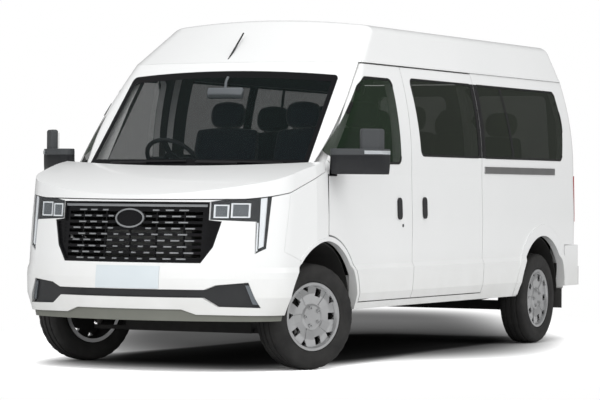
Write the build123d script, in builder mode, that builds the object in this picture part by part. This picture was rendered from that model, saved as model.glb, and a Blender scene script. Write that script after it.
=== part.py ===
"""A long-wheelbase passenger van with a mid-height roof.

Millimetres.  The ground is Z = 0, the front faces -Y and the van's own left is +X.
"""
import os
from collections import namedtuple
from math import cos, radians, sin, sqrt

from build123d import *

os.makedirs("parts", exist_ok=True)

# Overall layout
FRONT_AXLE_Y = -1920
REAR_AXLE_Y = 1930
AXLE_Z = 345
FRONT_WHEEL_X = 867
REAR_WHEEL_X = 861
BELT_Z = 1270
GUTTER_Z = 2030
SILL_Z = 375
FLOOR_Z = 570
FLOOR_T = 50
WALL_T = 50
PANEL_T = 28
GLASS_T = 5
SHUT = 6
WING_SHUT = 8
SEAT_FIT = 0.3

# Body outlines, one row for each height: half width, front at the centre line, rear
Row = namedtuple("Row", "z half front rear inside")
LOWER = [
    Row(330, 940, -2815, 2700, True),
    Row(480, 990, -2850, 2700, False),
    Row(600, 999, -2846, 2700, True),
    Row(640, 999, -2840, 2700, False),
    Row(672, 984, -2835, 2700, False),
    Row(980, 986, -2794, 2700, True),
    Row(BELT_Z, 976, -2757, 2700, True),
]
NOSE_TOP = Row(1420, 966, -2738, 2700, True)
CABIN = [
    Row(BELT_Z, 976, -2060, 2700, True),
    Row(1650, 956, -1712, 2688, True),
    Row(GUTTER_Z, 872, -1363, 2660, True),
]
ROOF = [
    Row(GUTTER_Z, 872, -1363, 2660, True),
    Row(2352, 742, -856, 2612, True),
]
NOSE_BOW = 1600
NOSE_CORNER = 300
NOSE_TAPER = 50
TAPER_END_Y = -2070
SCREEN_BOW = 2800
PILLAR_R = 150
REAR_CORNER = 110
CROWN_Z = 2345
CROWN_R = 6500

# Bonnet surface and the seam below it, seen from the side
BONNET_LINE = [(-2800, 1118), (-2400, 1250), (-1880, 1358)]
BONNET_SEAM = [(-1880, 1296), (-2000, 1268), (-2370, 1150), (-2600, 1106), (-2900, 1096)]
BONNET_EDGE_R = 40

# Wheel arches and steering
ARCH_Z = 355
ARCH_R = 478
REAR_ARCH_R = 470
STEER_X = 720
REST_STEER = -24

# Wheel cover
COVER_SLOTS = 5
LUG_R = 60

# Chassis rails and the tow-bar bolt holes under their rear ends
RAIL_X = 435
TOW_BOLT_Y = [2640, 2730]
TOW_BOLT_R = 7.5

# Doors, seen from the side
DOOR_FRONT_Y = -1890
DOOR_REAR_Y = -556
DOOR_FOOT_Z = 425
DOOR_TOP_Z = 2022
DOOR_ARCH_R = 520
SLIDE_FRONT_Y = DOOR_REAR_Y + SHUT
SLIDE_REAR_Y = 715
DOOR_WINDOW = [(-1862, 1345), (-1310, 1868), (-1190, 1935), (-745, 1935), (-725, 1345)]
SLIDE_WINDOW = [(-385, 1405), (-440, 1950), (690, 1950), (692, 1405)]
QUARTER_WINDOW = [(744, 1405), (746, 1950), (2360, 1950), (2420, 1690), (2360, 1405)]
RIGHT_WINDOW = [(-385, 1405), (-440, 1950), (2360, 1950), (2420, 1690), (2360, 1405)]
REAR_WINDOW = [(130, 1330), (130, 1930), (730, 1930), (765, 1330)]
WINDOW_R = 55

DASH_HALF = 840

# Outside mirrors: arm and housing in one, seen from above
MIRROR_X = 977.2
MIRROR_FOOT_Z = 1268
MIRROR_H = 168
MIRROR_PLAN = [(1000, -1896), (1050, -1906), (1190, -1838), (1290, -1715), (1303, -1625), (1262, -1585),
               (1215, -1610), (1120, -1730), (1000, -1800)]

# Hinges
DOOR_HINGE_X = 930
DOOR_HINGE_Y = -1940
DOOR_HINGE_Z = [960, 1190]
DOOR_CLEAR_R = 73
REAR_HINGE_X = 850
REAR_HINGE_Y = 2728
REAR_HINGE_Z = [800, 1250, 1800]
BONNET_HINGE_Y = -1952
BONNET_HINGE_Z = 1312
BONNET_HINGE_X = 780
PIN_R = 8

# Front face, seen from the front
GRILLE = [(531, 1084), (531, 970), (608, 962), (566, 800), (497, 698)]
LAMP = [(533, 1086), (875, 1146), (862, 792), (806, 758), (800, 962), (533, 972)]
INTAKE = [(515, 480), (600, 424), (842, 418), (782, 578), (596, 560), (525, 530)]
VALANCE = [(380, 404), (470, 372), (1000, 366), (1000, 300)]
VALANCE_STEP = 12
FOG_LAMP = [(796, 440), (830, 436), (785, 560), (760, 560)]
SCREEN = [(822, 1308), (785, 1937)]
SCREEN_TOP_Z = 1970

# Grille: a frame around open bars, bright dashes staggered row by row and shorter towards the middle
GRILLE_Y = -2806
GRILLE_Z = 890
GRILLE_LEAN = 7.58
GRILLE_RIM = 14
GRILLE_ROWS = 9
ROW_PITCH = 38.5
ROW_TOP_Z = 1030
BAR_H = 18
BAR_HALF = 486
DASH_PITCH = 92
DASH_SHORT = 24
DASH_LONG = 58
DASH_GROW_X = 350
DASH_H = 9
RIB_X = [-368, -184, 0, 184, 368]
RIB_W = 10
TOP_BAR_Z = 1061
TOP_BAR_H = 16
EAR_FIN_Z = [824, 846, 868, 890, 912, 934]
EAR_FIN_H = 6
BADGE = (104, 62)
BADGE_Z = 979
BADGE_RIM = 10

# Headlamp inside, seen from the front: reflector boxes, light strip, thin inner strip
LAMP_BOXES = [(598, 1026, 88, 84), (709, 1032, 108, 92)]
LAMP_BOX_RIM = 8
LIGHT_STRIP = [(818, 1108), (848, 1114), (845, 806), (822, 792)]
INNER_STRIP = [(806, 955), (812, 955), (815, 778), (809, 774)]

# Raised lips around the wheel openings and along the roof gutter
LIP_OUT = 5
LIP_W = 22
FLARE_OUT = 7
FLARE_W = 88
DRIP_OUT = 7
DRIP_H = 12

# Rear end: lamp outline seen from behind, mudflap place
TAIL_LAMP = [(888, 930), (972, 930), (972, 1290), (888, 1290)]
FLAP_Y = 2397
FLAP_T = 7.4


def plan_outline(row, bow, front_corner, inset, taper=0):
    """Horizontal outline of the body at one height, moved in by inset."""
    half = row.half - inset
    nose_half = half - taper
    front = row.front + inset
    rear = row.rear - inset
    radius = bow - inset
    corner_y = front + radius - sqrt(radius**2 - nose_half**2)
    with BuildSketch(Plane.XY.offset(row.z)) as outline:
        with BuildLine():
            ThreePointArc((-nose_half, corner_y), (0, front), (nose_half, corner_y))
            if taper:
                Polyline((nose_half, corner_y), (half, TAPER_END_Y), (half, rear))
                Polyline((-nose_half, corner_y), (-half, TAPER_END_Y), (-half, rear))
            else:
                Line((nose_half, corner_y), (half, rear))
                Line((-nose_half, corner_y), (-half, rear))
            Line((half, rear), (-half, rear))
        make_face()
        fillet(outline.vertices().group_by(Axis.Y)[-1], REAR_CORNER - min(inset, 90))
        fillet(outline.vertices().group_by(Axis.Y)[0], front_corner - min(inset, front_corner - 20))
    return outline.sketch


def rows_for(rows, inset):
    """Inner faces leave out the rows that only shape the outer creases."""
    return [row for row in rows if row.inside or inset < 6]


def lower_form(inset, rows=LOWER):
    """Solid below the belt line, nose included."""
    with BuildPart() as form:
        loft(
            [plan_outline(row, NOSE_BOW, NOSE_CORNER, inset, NOSE_TAPER) for row in rows_for(rows, inset)],
            ruled=True,
        )
    return form.part


def cabin_form(inset):
    """Solid between the belt line and the gutter."""
    with BuildPart() as form:
        loft([plan_outline(row, SCREEN_BOW, PILLAR_R, inset) for row in CABIN])
    return form.part


def body_form(inset):
    """Solid from the sills to the gutter."""
    return lower_form(inset) + cabin_form(inset)


def roof_form(inset):
    """Solid above the gutter, under a crowned top."""
    with BuildPart() as form:
        loft([plan_outline(row, SCREEN_BOW, PILLAR_R, inset) for row in ROOF], ruled=True)
        with BuildSketch(Plane.XZ.offset(-3000)):
            with Locations((0, CROWN_Z - inset - CROWN_R)):
                Circle(CROWN_R)
        extrude(amount=6000, mode=Mode.INTERSECT)
    return form.part


def nose_form(inset):
    """Solid under the bonnet surface, in front of the doors."""
    (y0, z0), (y1, z1), (y2, z2) = BONNET_LINE
    with BuildPart() as form:
        add(lower_form(inset, LOWER + [NOSE_TOP]))
        with BuildSketch(Plane.YZ):
            with BuildLine():
                ThreePointArc((y0, z0 - inset), (y1, z1 - inset), (y2, z2 - inset))
                Polyline((y2, z2 - inset), (y2, 300), (-2900, 300), (-2900, z0 - inset), (y0, z0 - inset))
            make_face()
        extrude(amount=1100, both=True, mode=Mode.INTERSECT)
    return form.part


def polygon_prism(points, depth=1200, plane=Plane.YZ, corner=0, both=True):
    """Straight prism through the body from an outline given on a plane."""
    with BuildPart() as prism:
        with BuildSketch(plane) as outline:
            Polygon(*points, align=None)
            if corner:
                fillet(outline.vertices(), corner)
        extrude(amount=depth, both=both)
    return prism.part


def both_sides(points):
    """Closed outline from its right half, mirrored about the centre line."""
    return points + [(-x, z) for x, z in reversed(points)]


def arch_prism(y, radius):
    """Round wheel opening across the body."""
    with BuildPart() as arch:
        with BuildSketch(Plane.YZ):
            with Locations((y, ARCH_Z)):
                Circle(radius)
        extrude(amount=1200, both=True)
    return arch.part


def arch_ring(y, radius, width):
    """Band around a round wheel opening, above the sills."""
    with BuildPart() as ring:
        with BuildSketch(Plane.YZ):
            with Locations((y, ARCH_Z)):
                Circle(radius + width)
                Circle(radius, mode=Mode.SUBTRACT)
            with Locations((y, SILL_Z + 10)):
                Rectangle(2000, 1000, align=(Align.CENTER, Align.MIN), mode=Mode.INTERSECT)
        extrude(amount=1200, both=True)
    return ring.part


# Shells that the panels are cut from
wall = body_form(0) - body_form(WALL_T)
frame = body_form(WALL_T + SHUT) - body_form(WALL_T + SHUT + 50)
nose_outer = nose_form(0)
nose = nose_outer - nose_form(PANEL_T)
cabin_skin = cabin_form(0) - cabin_form(GLASS_T)
left_half = polygon_prism([(-3000, 0), (3000, 0), (3000, 2600), (-3000, 2600)], both=False)
wall_left = wall & left_half
frame_left = frame & left_half
skin_left = cabin_skin & left_half
front_arch = arch_prism(FRONT_AXLE_Y, ARCH_R)
rear_arch = arch_prism(REAR_AXLE_Y, REAR_ARCH_R)
flare_band = (lower_form(-FLARE_OUT) - lower_form(1)) & left_half
flare_reach = polygon_prism([(0, SILL_Z), (0, 1200), (FLAP_Y, 1200), (FLAP_Y, SILL_Z)])
rear_flare = flare_band & arch_ring(REAR_AXLE_Y, REAR_ARCH_R, FLARE_W) & flare_reach

# Front door: one closed outline, its foot swept around the wheel arch
arch_foot = sqrt(DOOR_ARCH_R**2 - (DOOR_FOOT_Z - ARCH_Z) ** 2)
arch_head = sqrt(DOOR_ARCH_R**2 - (DOOR_FRONT_Y - FRONT_AXLE_Y) ** 2)


def door_region(grow):
    """Side view of the front door opening, grown on every edge."""
    with BuildPart() as region:
        with BuildSketch(Plane.YZ) as outline:
            Polygon(
                (DOOR_FRONT_Y - grow, 300),
                (DOOR_FRONT_Y - grow, 1300),
                (-1290 - grow, 1915),
                (-1170 - grow, DOOR_TOP_Z + grow),
                (DOOR_REAR_Y + grow, DOOR_TOP_Z + grow),
                (DOOR_REAR_Y + grow, DOOR_FOOT_Z - grow),
                (-1700, DOOR_FOOT_Z - grow),
                (-1700, 300),
                align=None,
            )
            with Locations((FRONT_AXLE_Y, ARCH_Z)):
                Circle(DOOR_ARCH_R - grow, mode=Mode.SUBTRACT)
            with Locations((FRONT_AXLE_Y, 350)):
                Rectangle(760, 300, mode=Mode.SUBTRACT)
        extrude(amount=1200)
    return region.part


def pane(skin, points, fit=SEAT_FIT):
    """Glass that follows the body skin inside a window outline."""
    with BuildPart() as glass:
        add(skin)
        with BuildSketch(Plane.YZ) as outline:
            Polygon(*points, align=None)
            fillet(outline.vertices(), WINDOW_R)
            offset(amount=-fit, mode=Mode.REPLACE)
        extrude(amount=1200, mode=Mode.INTERSECT)
    return glass.part


# Room inside the door's upper frame, so that the pillar corner stays with the body
PILLAR_INSIDE = [(0, 1262), (918, 1262), (923, BELT_Z), (921, 1460), (903, 1650), (869, 1840), (819, GUTTER_Z),
                 (0, GUTTER_Z)]
with BuildPart() as front_door_left:
    add(wall_left & door_region(0))
    add(polygon_prism(PILLAR_INSIDE, 3000, Plane.XZ), mode=Mode.SUBTRACT)
    with Locations((DOOR_HINGE_X, DOOR_HINGE_Y, 1050)):
        Cylinder(DOOR_CLEAR_R, 560, mode=Mode.SUBTRACT)
    with BuildSketch(Plane.YZ) as door_window:
        Polygon(*DOOR_WINDOW, align=None)
        fillet(door_window.vertices(), WINDOW_R)
    extrude(amount=1200, mode=Mode.SUBTRACT)
    for hinge_z in DOOR_HINGE_Z:
        with BuildSketch(Plane.XY.offset(hinge_z)):
            Polygon((937, -1862), (937, -1825), (905, -1825), (850, -1872), (850, -1950), (930, -1950), (930, -1930),
                    (872, -1930), (872, -1882), (910, -1852), (928, -1862), align=None)
            with Locations((DOOR_HINGE_X, DOOR_HINGE_Y)):
                Circle(PIN_R + 6)
                Circle(PIN_R + SEAT_FIT, mode=Mode.SUBTRACT)
        extrude(amount=24)
front_door_left.part.label = "front_door_left"

with BuildPart() as front_door_glass_left:
    add(pane(skin_left, DOOR_WINDOW))
front_door_glass_left.part.label = "front_door_glass_left"

# Outside mirror: sail plate on the door, arm and tall head
with BuildPart() as mirror_left:
    with BuildSketch(Plane.YZ.offset(MIRROR_X)):
        Polygon((-1884, 1256), (-1866, 1402), (-1770, 1402), (-1760, 1256), align=None)
    extrude(amount=40)
    with BuildSketch(Plane.XY.offset(MIRROR_FOOT_Z)) as head:
        Polygon(*MIRROR_PLAN, align=None)
        fillet(head.vertices(), 16)
    extrude(amount=MIRROR_H)
    fillet(mirror_left.faces().sort_by(Axis.Z)[-1].edges(), 14)
mirror_left.part.label = "mirror_left"

with BuildPart() as door_handle_left:
    add(lower_form(-12) - lower_form(0))
    with BuildSketch(Plane.YZ):
        with Locations((-775, 1042)):
            SlotOverall(150, 62, rotation=90)
    extrude(amount=1200, mode=Mode.INTERSECT)
door_handle_left.part.label = "door_handle_left"

# Sliding door, its glass, handle and rail
with BuildPart() as sliding_door:
    add(wall_left)
    with BuildSketch(Plane.YZ):
        Polygon((SLIDE_FRONT_Y, DOOR_FOOT_Z), (SLIDE_FRONT_Y, DOOR_TOP_Z), (SLIDE_REAR_Y, DOOR_TOP_Z),
                (SLIDE_REAR_Y, DOOR_FOOT_Z), align=None)
    extrude(amount=1200, mode=Mode.INTERSECT)
    with BuildSketch(Plane.YZ) as slide_window:
        Polygon(*SLIDE_WINDOW, align=None)
        fillet(slide_window.vertices(), WINDOW_R)
    extrude(amount=1200, mode=Mode.SUBTRACT)
sliding_door.part.label = "sliding_door"

with BuildPart() as sliding_door_handle:
    add(lower_form(-12) - lower_form(0))
    with BuildSketch(Plane.YZ):
        with Locations((-347, 1046)):
            SlotOverall(150, 62, rotation=90)
    extrude(amount=1200, mode=Mode.INTERSECT)
sliding_door_handle.part.label = "sliding_door_handle"

with BuildPart() as slide_rail:
    add(cabin_form(-6) - cabin_form(0))
    with BuildSketch(Plane.YZ):
        with Locations((1480, 1320)):
            Rectangle(1420, 50)
    extrude(amount=1200, mode=Mode.INTERSECT)
slide_rail.part.label = "slide_rail"

# Body sides: quarter panel, sill and the frame that the doors close on
FRONT_APERTURE = [(-1745, 600), (-1745, 1340), (-1200, 1880), (-1120, 1960), (-640, 1960), (-640, 480),
                  (-1400, 480), (-1400, 600)]
SLIDE_APERTURE = [(-470, 480), (-470, 1960), (640, 1960), (640, 480)]


def side_frame(front_y, rear_y, apertures):
    """Inner frame behind the doors, with an aperture for each."""
    with BuildPart() as inner:
        add(frame_left)
        with BuildSketch(Plane.YZ):
            Polygon((front_y, 860), (front_y, 1310), (-1240, GUTTER_Z), (rear_y, GUTTER_Z), (rear_y, SILL_Z),
                    (-1438, SILL_Z), (-1438, 860), align=None)
            for points in apertures:
                Polygon(*points, align=None, mode=Mode.SUBTRACT)
        extrude(amount=1200, mode=Mode.INTERSECT)
        with Locations((0, -1200, 1500)):
            Box(2 * 745, 2000, 2400, mode=Mode.SUBTRACT)
    return inner.part


def arch_lip():
    """Strip behind the front wheel that carries the arch down to the sill."""
    with BuildPart() as lip:
        add(wall_left)
        with BuildSketch(Plane.YZ):
            with Locations((FRONT_AXLE_Y, ARCH_Z)):
                Circle(DOOR_ARCH_R - 10)
            with Locations((DOOR_FRONT_Y - WING_SHUT + SEAT_FIT, SILL_Z)):
                Rectangle(900, 900, align=Align.MIN, mode=Mode.INTERSECT)
        extrude(amount=1200, mode=Mode.INTERSECT)
        add(front_arch, mode=Mode.SUBTRACT)
    return lip.part


def quarter(front_y, windows):
    """Outer panel behind the doors, with the sill that runs below them."""
    with BuildPart() as panel:
        add(wall_left)
        with BuildSketch(Plane.YZ):
            Polygon((-1445, SILL_Z), (-1445, DOOR_FOOT_Z - SHUT), (front_y, DOOR_FOOT_Z - SHUT), (front_y, GUTTER_Z),
                    (2800, GUTTER_Z), (2800, 752), (FLAP_Y, 752), (FLAP_Y, SILL_Z), align=None)
        extrude(amount=1200, mode=Mode.INTERSECT)
        add(arch_lip())
        add(front_arch, mode=Mode.SUBTRACT)
        with Locations((0, 2700, 1200)):
            Box(2 * (REAR_HINGE_X + 4), 300, 3000, mode=Mode.SUBTRACT)
        add(rear_flare)
        add(rear_arch, mode=Mode.SUBTRACT)
        for points in windows:
            with BuildSketch(Plane.YZ) as opening:
                Polygon(*points, align=None)
                fillet(opening.vertices(), WINDOW_R)
            extrude(amount=1200, mode=Mode.SUBTRACT)
    return panel.part


def sill_web(front_y, rear_y):
    """Floor of the sill, joining the outer panel to the inner frame."""
    with BuildPart() as web:
        add(body_form(0) & left_half)
        with BuildSketch(Plane.YZ):
            with Locations(((front_y + rear_y) / 2, (SILL_Z + DOOR_FOOT_Z - SHUT) / 2)):
                Rectangle(rear_y - front_y, DOOR_FOOT_Z - SHUT - SILL_Z)
        extrude(amount=1200, mode=Mode.INTERSECT)
        with Locations((0, 0, 400)):
            Box(2 * 870, 6000, 400, mode=Mode.SUBTRACT)
    return web.part


def post_web(front_y, rear_y):
    """Join between the outer panel and the inner frame along a door post."""
    with BuildPart() as web:
        add(body_form(20) - body_form(80))
        with BuildSketch(Plane.YZ):
            Polygon((front_y, SILL_Z), (front_y, GUTTER_Z), (rear_y, GUTTER_Z), (rear_y, SILL_Z), align=None)
        extrude(amount=1200, mode=Mode.INTERSECT)
    return web.part


def rear_hinge_leaves(x_sign, z):
    """Pin and leaf for a rear door, on the corner post."""
    with BuildPart() as leaf:
        with BuildSketch(Plane.XY.offset(z - 25)):
            Polygon((858, 2640), (858, 2705), (REAR_HINGE_X - 2, 2716), (REAR_HINGE_X - 2, 2740), (866, 2740),
                    (884, 2716), (884, 2640), align=None)
        extrude(amount=24.7)
        with Locations((REAR_HINGE_X, REAR_HINGE_Y, z)):
            Cylinder(PIN_R, 50)
    return leaf.part if x_sign > 0 else mirror(leaf.part, about=Plane.YZ)


seal_band = (body_form(WALL_T + SEAT_FIT) - body_form(WALL_T + SHUT + 2)) & left_half
with BuildPart() as body_side_left:
    add(quarter(SLIDE_REAR_Y + SHUT, [QUARTER_WINDOW]))
    add(side_frame(-1815, 790, [FRONT_APERTURE, SLIDE_APERTURE]))
    add(sill_web(-1430, 790))
    add(post_web(SLIDE_REAR_Y + SHUT + 4, 752))
    for seal_y in (SLIDE_FRONT_Y + 40, SLIDE_REAR_Y - 35):
        seal = [(seal_y - 20, 440), (seal_y - 20, 2000), (seal_y + 20, 2000), (seal_y + 20, 440)]
        add(seal_band & polygon_prism(seal, both=False))
    for hinge_z in REAR_HINGE_Z:
        add(rear_hinge_leaves(1, hinge_z))
body_side_left.part.label = "body_side_left"

with BuildPart() as right_as_left:
    add(quarter(SLIDE_FRONT_Y, [RIGHT_WINDOW]))
    add(side_frame(-1815, -460, [FRONT_APERTURE]))
    add(sill_web(-1430, 790))
    add(post_web(SLIDE_FRONT_Y + 4, -470))
    for hinge_z in REAR_HINGE_Z:
        add(rear_hinge_leaves(1, hinge_z))
with BuildPart() as body_side_right:
    mirror(right_as_left.part, about=Plane.YZ)
body_side_right.part.label = "body_side_right"

with BuildPart() as side_glass:
    add(pane(skin_left, SLIDE_WINDOW))
    add(pane(skin_left, QUARTER_WINDOW))
    add(mirror(pane(skin_left, RIGHT_WINDOW), about=Plane.YZ, mode=Mode.PRIVATE))
side_glass.part.label = "side_glass"

# Roof and the frame around the windscreen
with BuildPart() as roof:
    add(roof_form(0))
    top_edges = roof.edges().filter_by(lambda edge: edge.center().Z > 2250)
    fillet(top_edges, 90)
    drip = [(-1150, GUTTER_Z + 1), (-1150, GUTTER_Z + 1 + DRIP_H), (2560, GUTTER_Z + 1 + DRIP_H), (2560, GUTTER_Z + 1)]
    add(roof_form(-DRIP_OUT) & polygon_prism(drip))
    add(roof_form(40), mode=Mode.SUBTRACT)
roof.part.label = "roof"


def screen_outline(fit):
    """Windscreen seen from the front."""
    (foot_x, foot_z), (head_x, head_z) = SCREEN
    with BuildSketch(Plane.XZ) as outline:
        with BuildLine():
            Polyline((-head_x, head_z), (-foot_x, foot_z), (foot_x, foot_z), (head_x, head_z))
            ThreePointArc((-head_x, head_z), (0, SCREEN_TOP_Z), (head_x, head_z))
        make_face()
        fillet(outline.vertices(), 35)
        if fit:
            offset(amount=-fit, mode=Mode.REPLACE)
    return outline.sketch


SCREEN_SIDE = [
    (-2200, BELT_Z - 1), (-2200, GUTTER_Z + 1), (-1176, GUTTER_Z + 1), (-1176 - SHUT, DOOR_TOP_Z + SHUT),
    (-1290 - SHUT, 1919), (DOOR_FRONT_Y - WING_SHUT, 1303), (DOOR_FRONT_Y - WING_SHUT, BELT_Z - 1)]
with BuildPart() as windscreen_frame:
    add((cabin_form(0) - cabin_form(WALL_T)) & polygon_prism(SCREEN_SIDE))
    extrude(screen_outline(0), amount=2400, mode=Mode.SUBTRACT)
windscreen_frame.part.label = "windscreen_frame"

with BuildPart() as windscreen:
    add(cabin_skin)
    extrude(screen_outline(SEAT_FIT), amount=2400, mode=Mode.INTERSECT)
windscreen.part.label = "windscreen"

# Nose panels
bonnet_above = [(y, z) for y, z in BONNET_SEAM] + [(-2900, 1500), (-1880, 1500)]
bonnet_below = [(y, z - SHUT) for y, z in BONNET_SEAM]
BONNET_REAR = -2105


with BuildPart() as rear_of_bonnet:
    with BuildSketch(Plane.XY.offset(900)):
        with Locations((0, BONNET_REAR + SCREEN_BOW)):
            Circle(SCREEN_BOW)
    extrude(amount=700)

with BuildPart() as bonnet:
    add(nose)
    add(polygon_prism(bonnet_above), mode=Mode.INTERSECT)
    add(rear_of_bonnet.part, mode=Mode.SUBTRACT)
    for side in (1, -1):
        with BuildSketch(Plane.YZ.offset(side * BONNET_HINGE_X - 8)):
            Polygon((-1952, 1304), (-2010, 1290), (-2075, 1268), (-2075, 1300), (-2020, 1310), (-1995, 1306),
                    (-1952, 1320), align=None)
            with Locations((BONNET_HINGE_Y, BONNET_HINGE_Z)):
                Circle(PIN_R + 5)
                Circle(PIN_R + SEAT_FIT, mode=Mode.SUBTRACT)
        extrude(amount=16)
bonnet.part.label = "bonnet"

WING_SIDE = bonnet_below[1:3] + [
    (-2446, 770), (-2262, 712), (-2262, 380), (DOOR_FRONT_Y - WING_SHUT, 380), (DOOR_FRONT_Y - WING_SHUT, 1286)]
with BuildPart() as front_wings:
    add(nose & polygon_prism(WING_SIDE))
    add((nose_form(-LIP_OUT) - nose_form(1)) & arch_ring(FRONT_AXLE_Y, ARCH_R, LIP_W) & polygon_prism(WING_SIDE))
    add(front_arch, mode=Mode.SUBTRACT)
    with Locations((0, -2000, 1100)):
        Box(1500, 1000, 1000, mode=Mode.SUBTRACT)
    add(polygon_prism(LAMP, 2900, Plane.XZ, both=False), mode=Mode.SUBTRACT)
    add(polygon_prism([(-x, z) for x, z in LAMP], 2900, Plane.XZ, both=False), mode=Mode.SUBTRACT)
front_wings.part.label = "front_wings"

BUMPER_SIDE = [(-2900, 320), (-2900, 1090), (-2600, 1100), (-2370, 1144), (-2446, 770), (-2262, 712), (-2262, 320)]
with BuildPart() as front_bumper:
    add(nose & polygon_prism(BUMPER_SIDE))
    add(front_arch, mode=Mode.SUBTRACT)
    for side in (1, -1):
        add(polygon_prism([(side * x, z) for x, z in LAMP], 2900, Plane.XZ, both=False), mode=Mode.SUBTRACT)
    add(polygon_prism(both_sides(GRILLE), 2900, Plane.XZ, both=False), mode=Mode.SUBTRACT)
    add(polygon_prism(both_sides(INTAKE), 2900, Plane.XZ, both=False), mode=Mode.SUBTRACT)
    valance = polygon_prism(both_sides(VALANCE), 2900, Plane.XZ, both=False)
    add((nose_outer - nose_form(VALANCE_STEP)) & valance, mode=Mode.SUBTRACT)
front_bumper.part.label = "front_bumper"

def dash_groups():
    """Places of the bright dashes, sorted by length."""
    groups = {}
    for row in range(GRILLE_ROWS):
        z = ROW_TOP_Z - row * ROW_PITCH
        for step in range(-6, 7):
            x = (step + row % 2 / 2) * DASH_PITCH
            length = DASH_SHORT + (DASH_LONG - DASH_SHORT) * min(1, abs(x) / DASH_GROW_X)
            on_badge = (abs(x) - length / 2 < BADGE[0]) and abs(z - BADGE_Z) < BADGE[1] + DASH_H
            if abs(x) + length / 2 < BAR_HALF and not on_badge:
                groups.setdefault(length, []).append((x, z))
    return groups


def grille_layer(outer, inner):
    """Bowed, leaning layer behind the nose surface, between two depths."""
    lean = Location((0, GRILLE_Y + NOSE_BOW / cos(radians(GRILLE_LEAN)), GRILLE_Z), (-GRILLE_LEAN, 0, 0))
    with BuildPart() as layer:
        with Locations(lean):
            Cylinder(NOSE_BOW - outer, 1200)
            Cylinder(NOSE_BOW - inner, 1210, mode=Mode.SUBTRACT)
        with Locations((0, GRILLE_Y, GRILLE_Z)):
            Box(1400, 500, 480, mode=Mode.INTERSECT)
    return layer.part


with BuildSketch(Plane.XZ) as grille_outline:
    Polygon(*both_sides(GRILLE), align=None)
with BuildSketch(Plane.XZ) as grille_gaps:
    for row in range(GRILLE_ROWS - 1):
        with Locations((0, ROW_TOP_Z - (row + 0.5) * ROW_PITCH)):
            Rectangle(2 * BAR_HALF, ROW_PITCH - BAR_H)
    with Locations((0, BADGE_Z)):
        Ellipse(BADGE[0] + 4, BADGE[1] + 4, mode=Mode.SUBTRACT)
with BuildSketch(Plane.XZ) as grille_rim:
    add(grille_outline.sketch)
    offset(grille_outline.sketch, amount=-GRILLE_RIM, mode=Mode.SUBTRACT)
with BuildSketch(Plane.XZ) as grille_ribs:
    with Locations(*[(x, (ROW_TOP_Z + 712) / 2) for x in RIB_X]):
        Rectangle(RIB_W, ROW_TOP_Z - 712)
with BuildSketch(Plane.XZ) as grille_bright:
    for length, places in dash_groups().items():
        with Locations(*places):
            Rectangle(length, DASH_H)
    with Locations((0, TOP_BAR_Z)):
        Rectangle(2 * (GRILLE[0][0] - GRILLE_RIM), TOP_BAR_H)
    with Locations((0, BADGE_Z)):
        Ellipse(*BADGE)
        Ellipse(BADGE[0] - BADGE_RIM, BADGE[1] - BADGE_RIM, mode=Mode.SUBTRACT)
    with Locations(*[(side * 552, z) for z in EAR_FIN_Z for side in (1, -1)]):
        Rectangle(60, EAR_FIN_H)
    add(grille_outline.sketch, mode=Mode.INTERSECT)

with BuildPart() as grille:
    add(grille_layer(16, 40) & extrude(grille_outline.sketch, amount=2900, mode=Mode.PRIVATE))
    extrude(grille_gaps.sketch, amount=2900, mode=Mode.SUBTRACT)
    add(grille_layer(28, 40) & extrude(grille_ribs.sketch, amount=2900, mode=Mode.PRIVATE))
    add(grille_layer(3, 40) & extrude(grille_rim.sketch, amount=2900, mode=Mode.PRIVATE))
    add(grille_layer(8, 18) & extrude(grille_bright.sketch, amount=2900, mode=Mode.PRIVATE))
grille.part.label = "grille"

with BuildPart() as bumper_grille:
    add(nose_form(16) - nose_form(44))
    add(polygon_prism(both_sides(INTAKE), 2900, Plane.XZ, both=False), mode=Mode.INTERSECT)
    for side in (1, -1):
        add((nose_form(6) - nose_form(18)) & polygon_prism([(side * x, z) for x, z in FOG_LAMP], 2900, Plane.XZ,
                                                           both=False))
bumper_grille.part.label = "bumper_grille"

under_bonnet = polygon_prism(bonnet_below + [(-2900, 300), (-1880, 300)])
lamp_band = (nose_form(14) - nose_form(60)) & under_bonnet
lens_band = (nose_outer - nose_form(4)) & under_bonnet
lamp_front = (nose_form(6) - nose_form(16)) & under_bonnet
with BuildSketch(Plane.XZ) as lamp_bright:
    for side in (1, -1):
        for x, z, width, height in LAMP_BOXES:
            with Locations((side * x, z)):
                Rectangle(width, height)
                Rectangle(width - 2 * LAMP_BOX_RIM, height - 2 * LAMP_BOX_RIM, mode=Mode.SUBTRACT)
        for points in (LIGHT_STRIP, INNER_STRIP):
            Polygon(*[(side * x, z) for x, z in points], align=None)
with BuildPart() as headlamps:
    for side in (1, -1):
        add(lamp_band & polygon_prism([(side * x, z) for x, z in LAMP], 2900, Plane.XZ, both=False))
    add(lamp_front & extrude(lamp_bright.sketch, amount=2900, mode=Mode.PRIVATE))
headlamps.part.label = "headlamps"

with BuildPart() as headlamp_lenses:
    for side in (1, -1):
        add(lens_band & polygon_prism([(side * x, z) for x, z in LAMP], 2900, Plane.XZ, both=False))
headlamp_lenses.part.label = "headlamp_lenses"

# Cowl strip between bonnet and windscreen
with BuildPart() as cowl:
    add(nose_form(42) - nose_form(60))
    with Locations((0, -1985, 1300)):
        Box(1480, 210, 140, mode=Mode.INTERSECT)
    add(cabin_form(-SEAT_FIT), mode=Mode.SUBTRACT)
cowl.part.label = "cowl"

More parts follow.
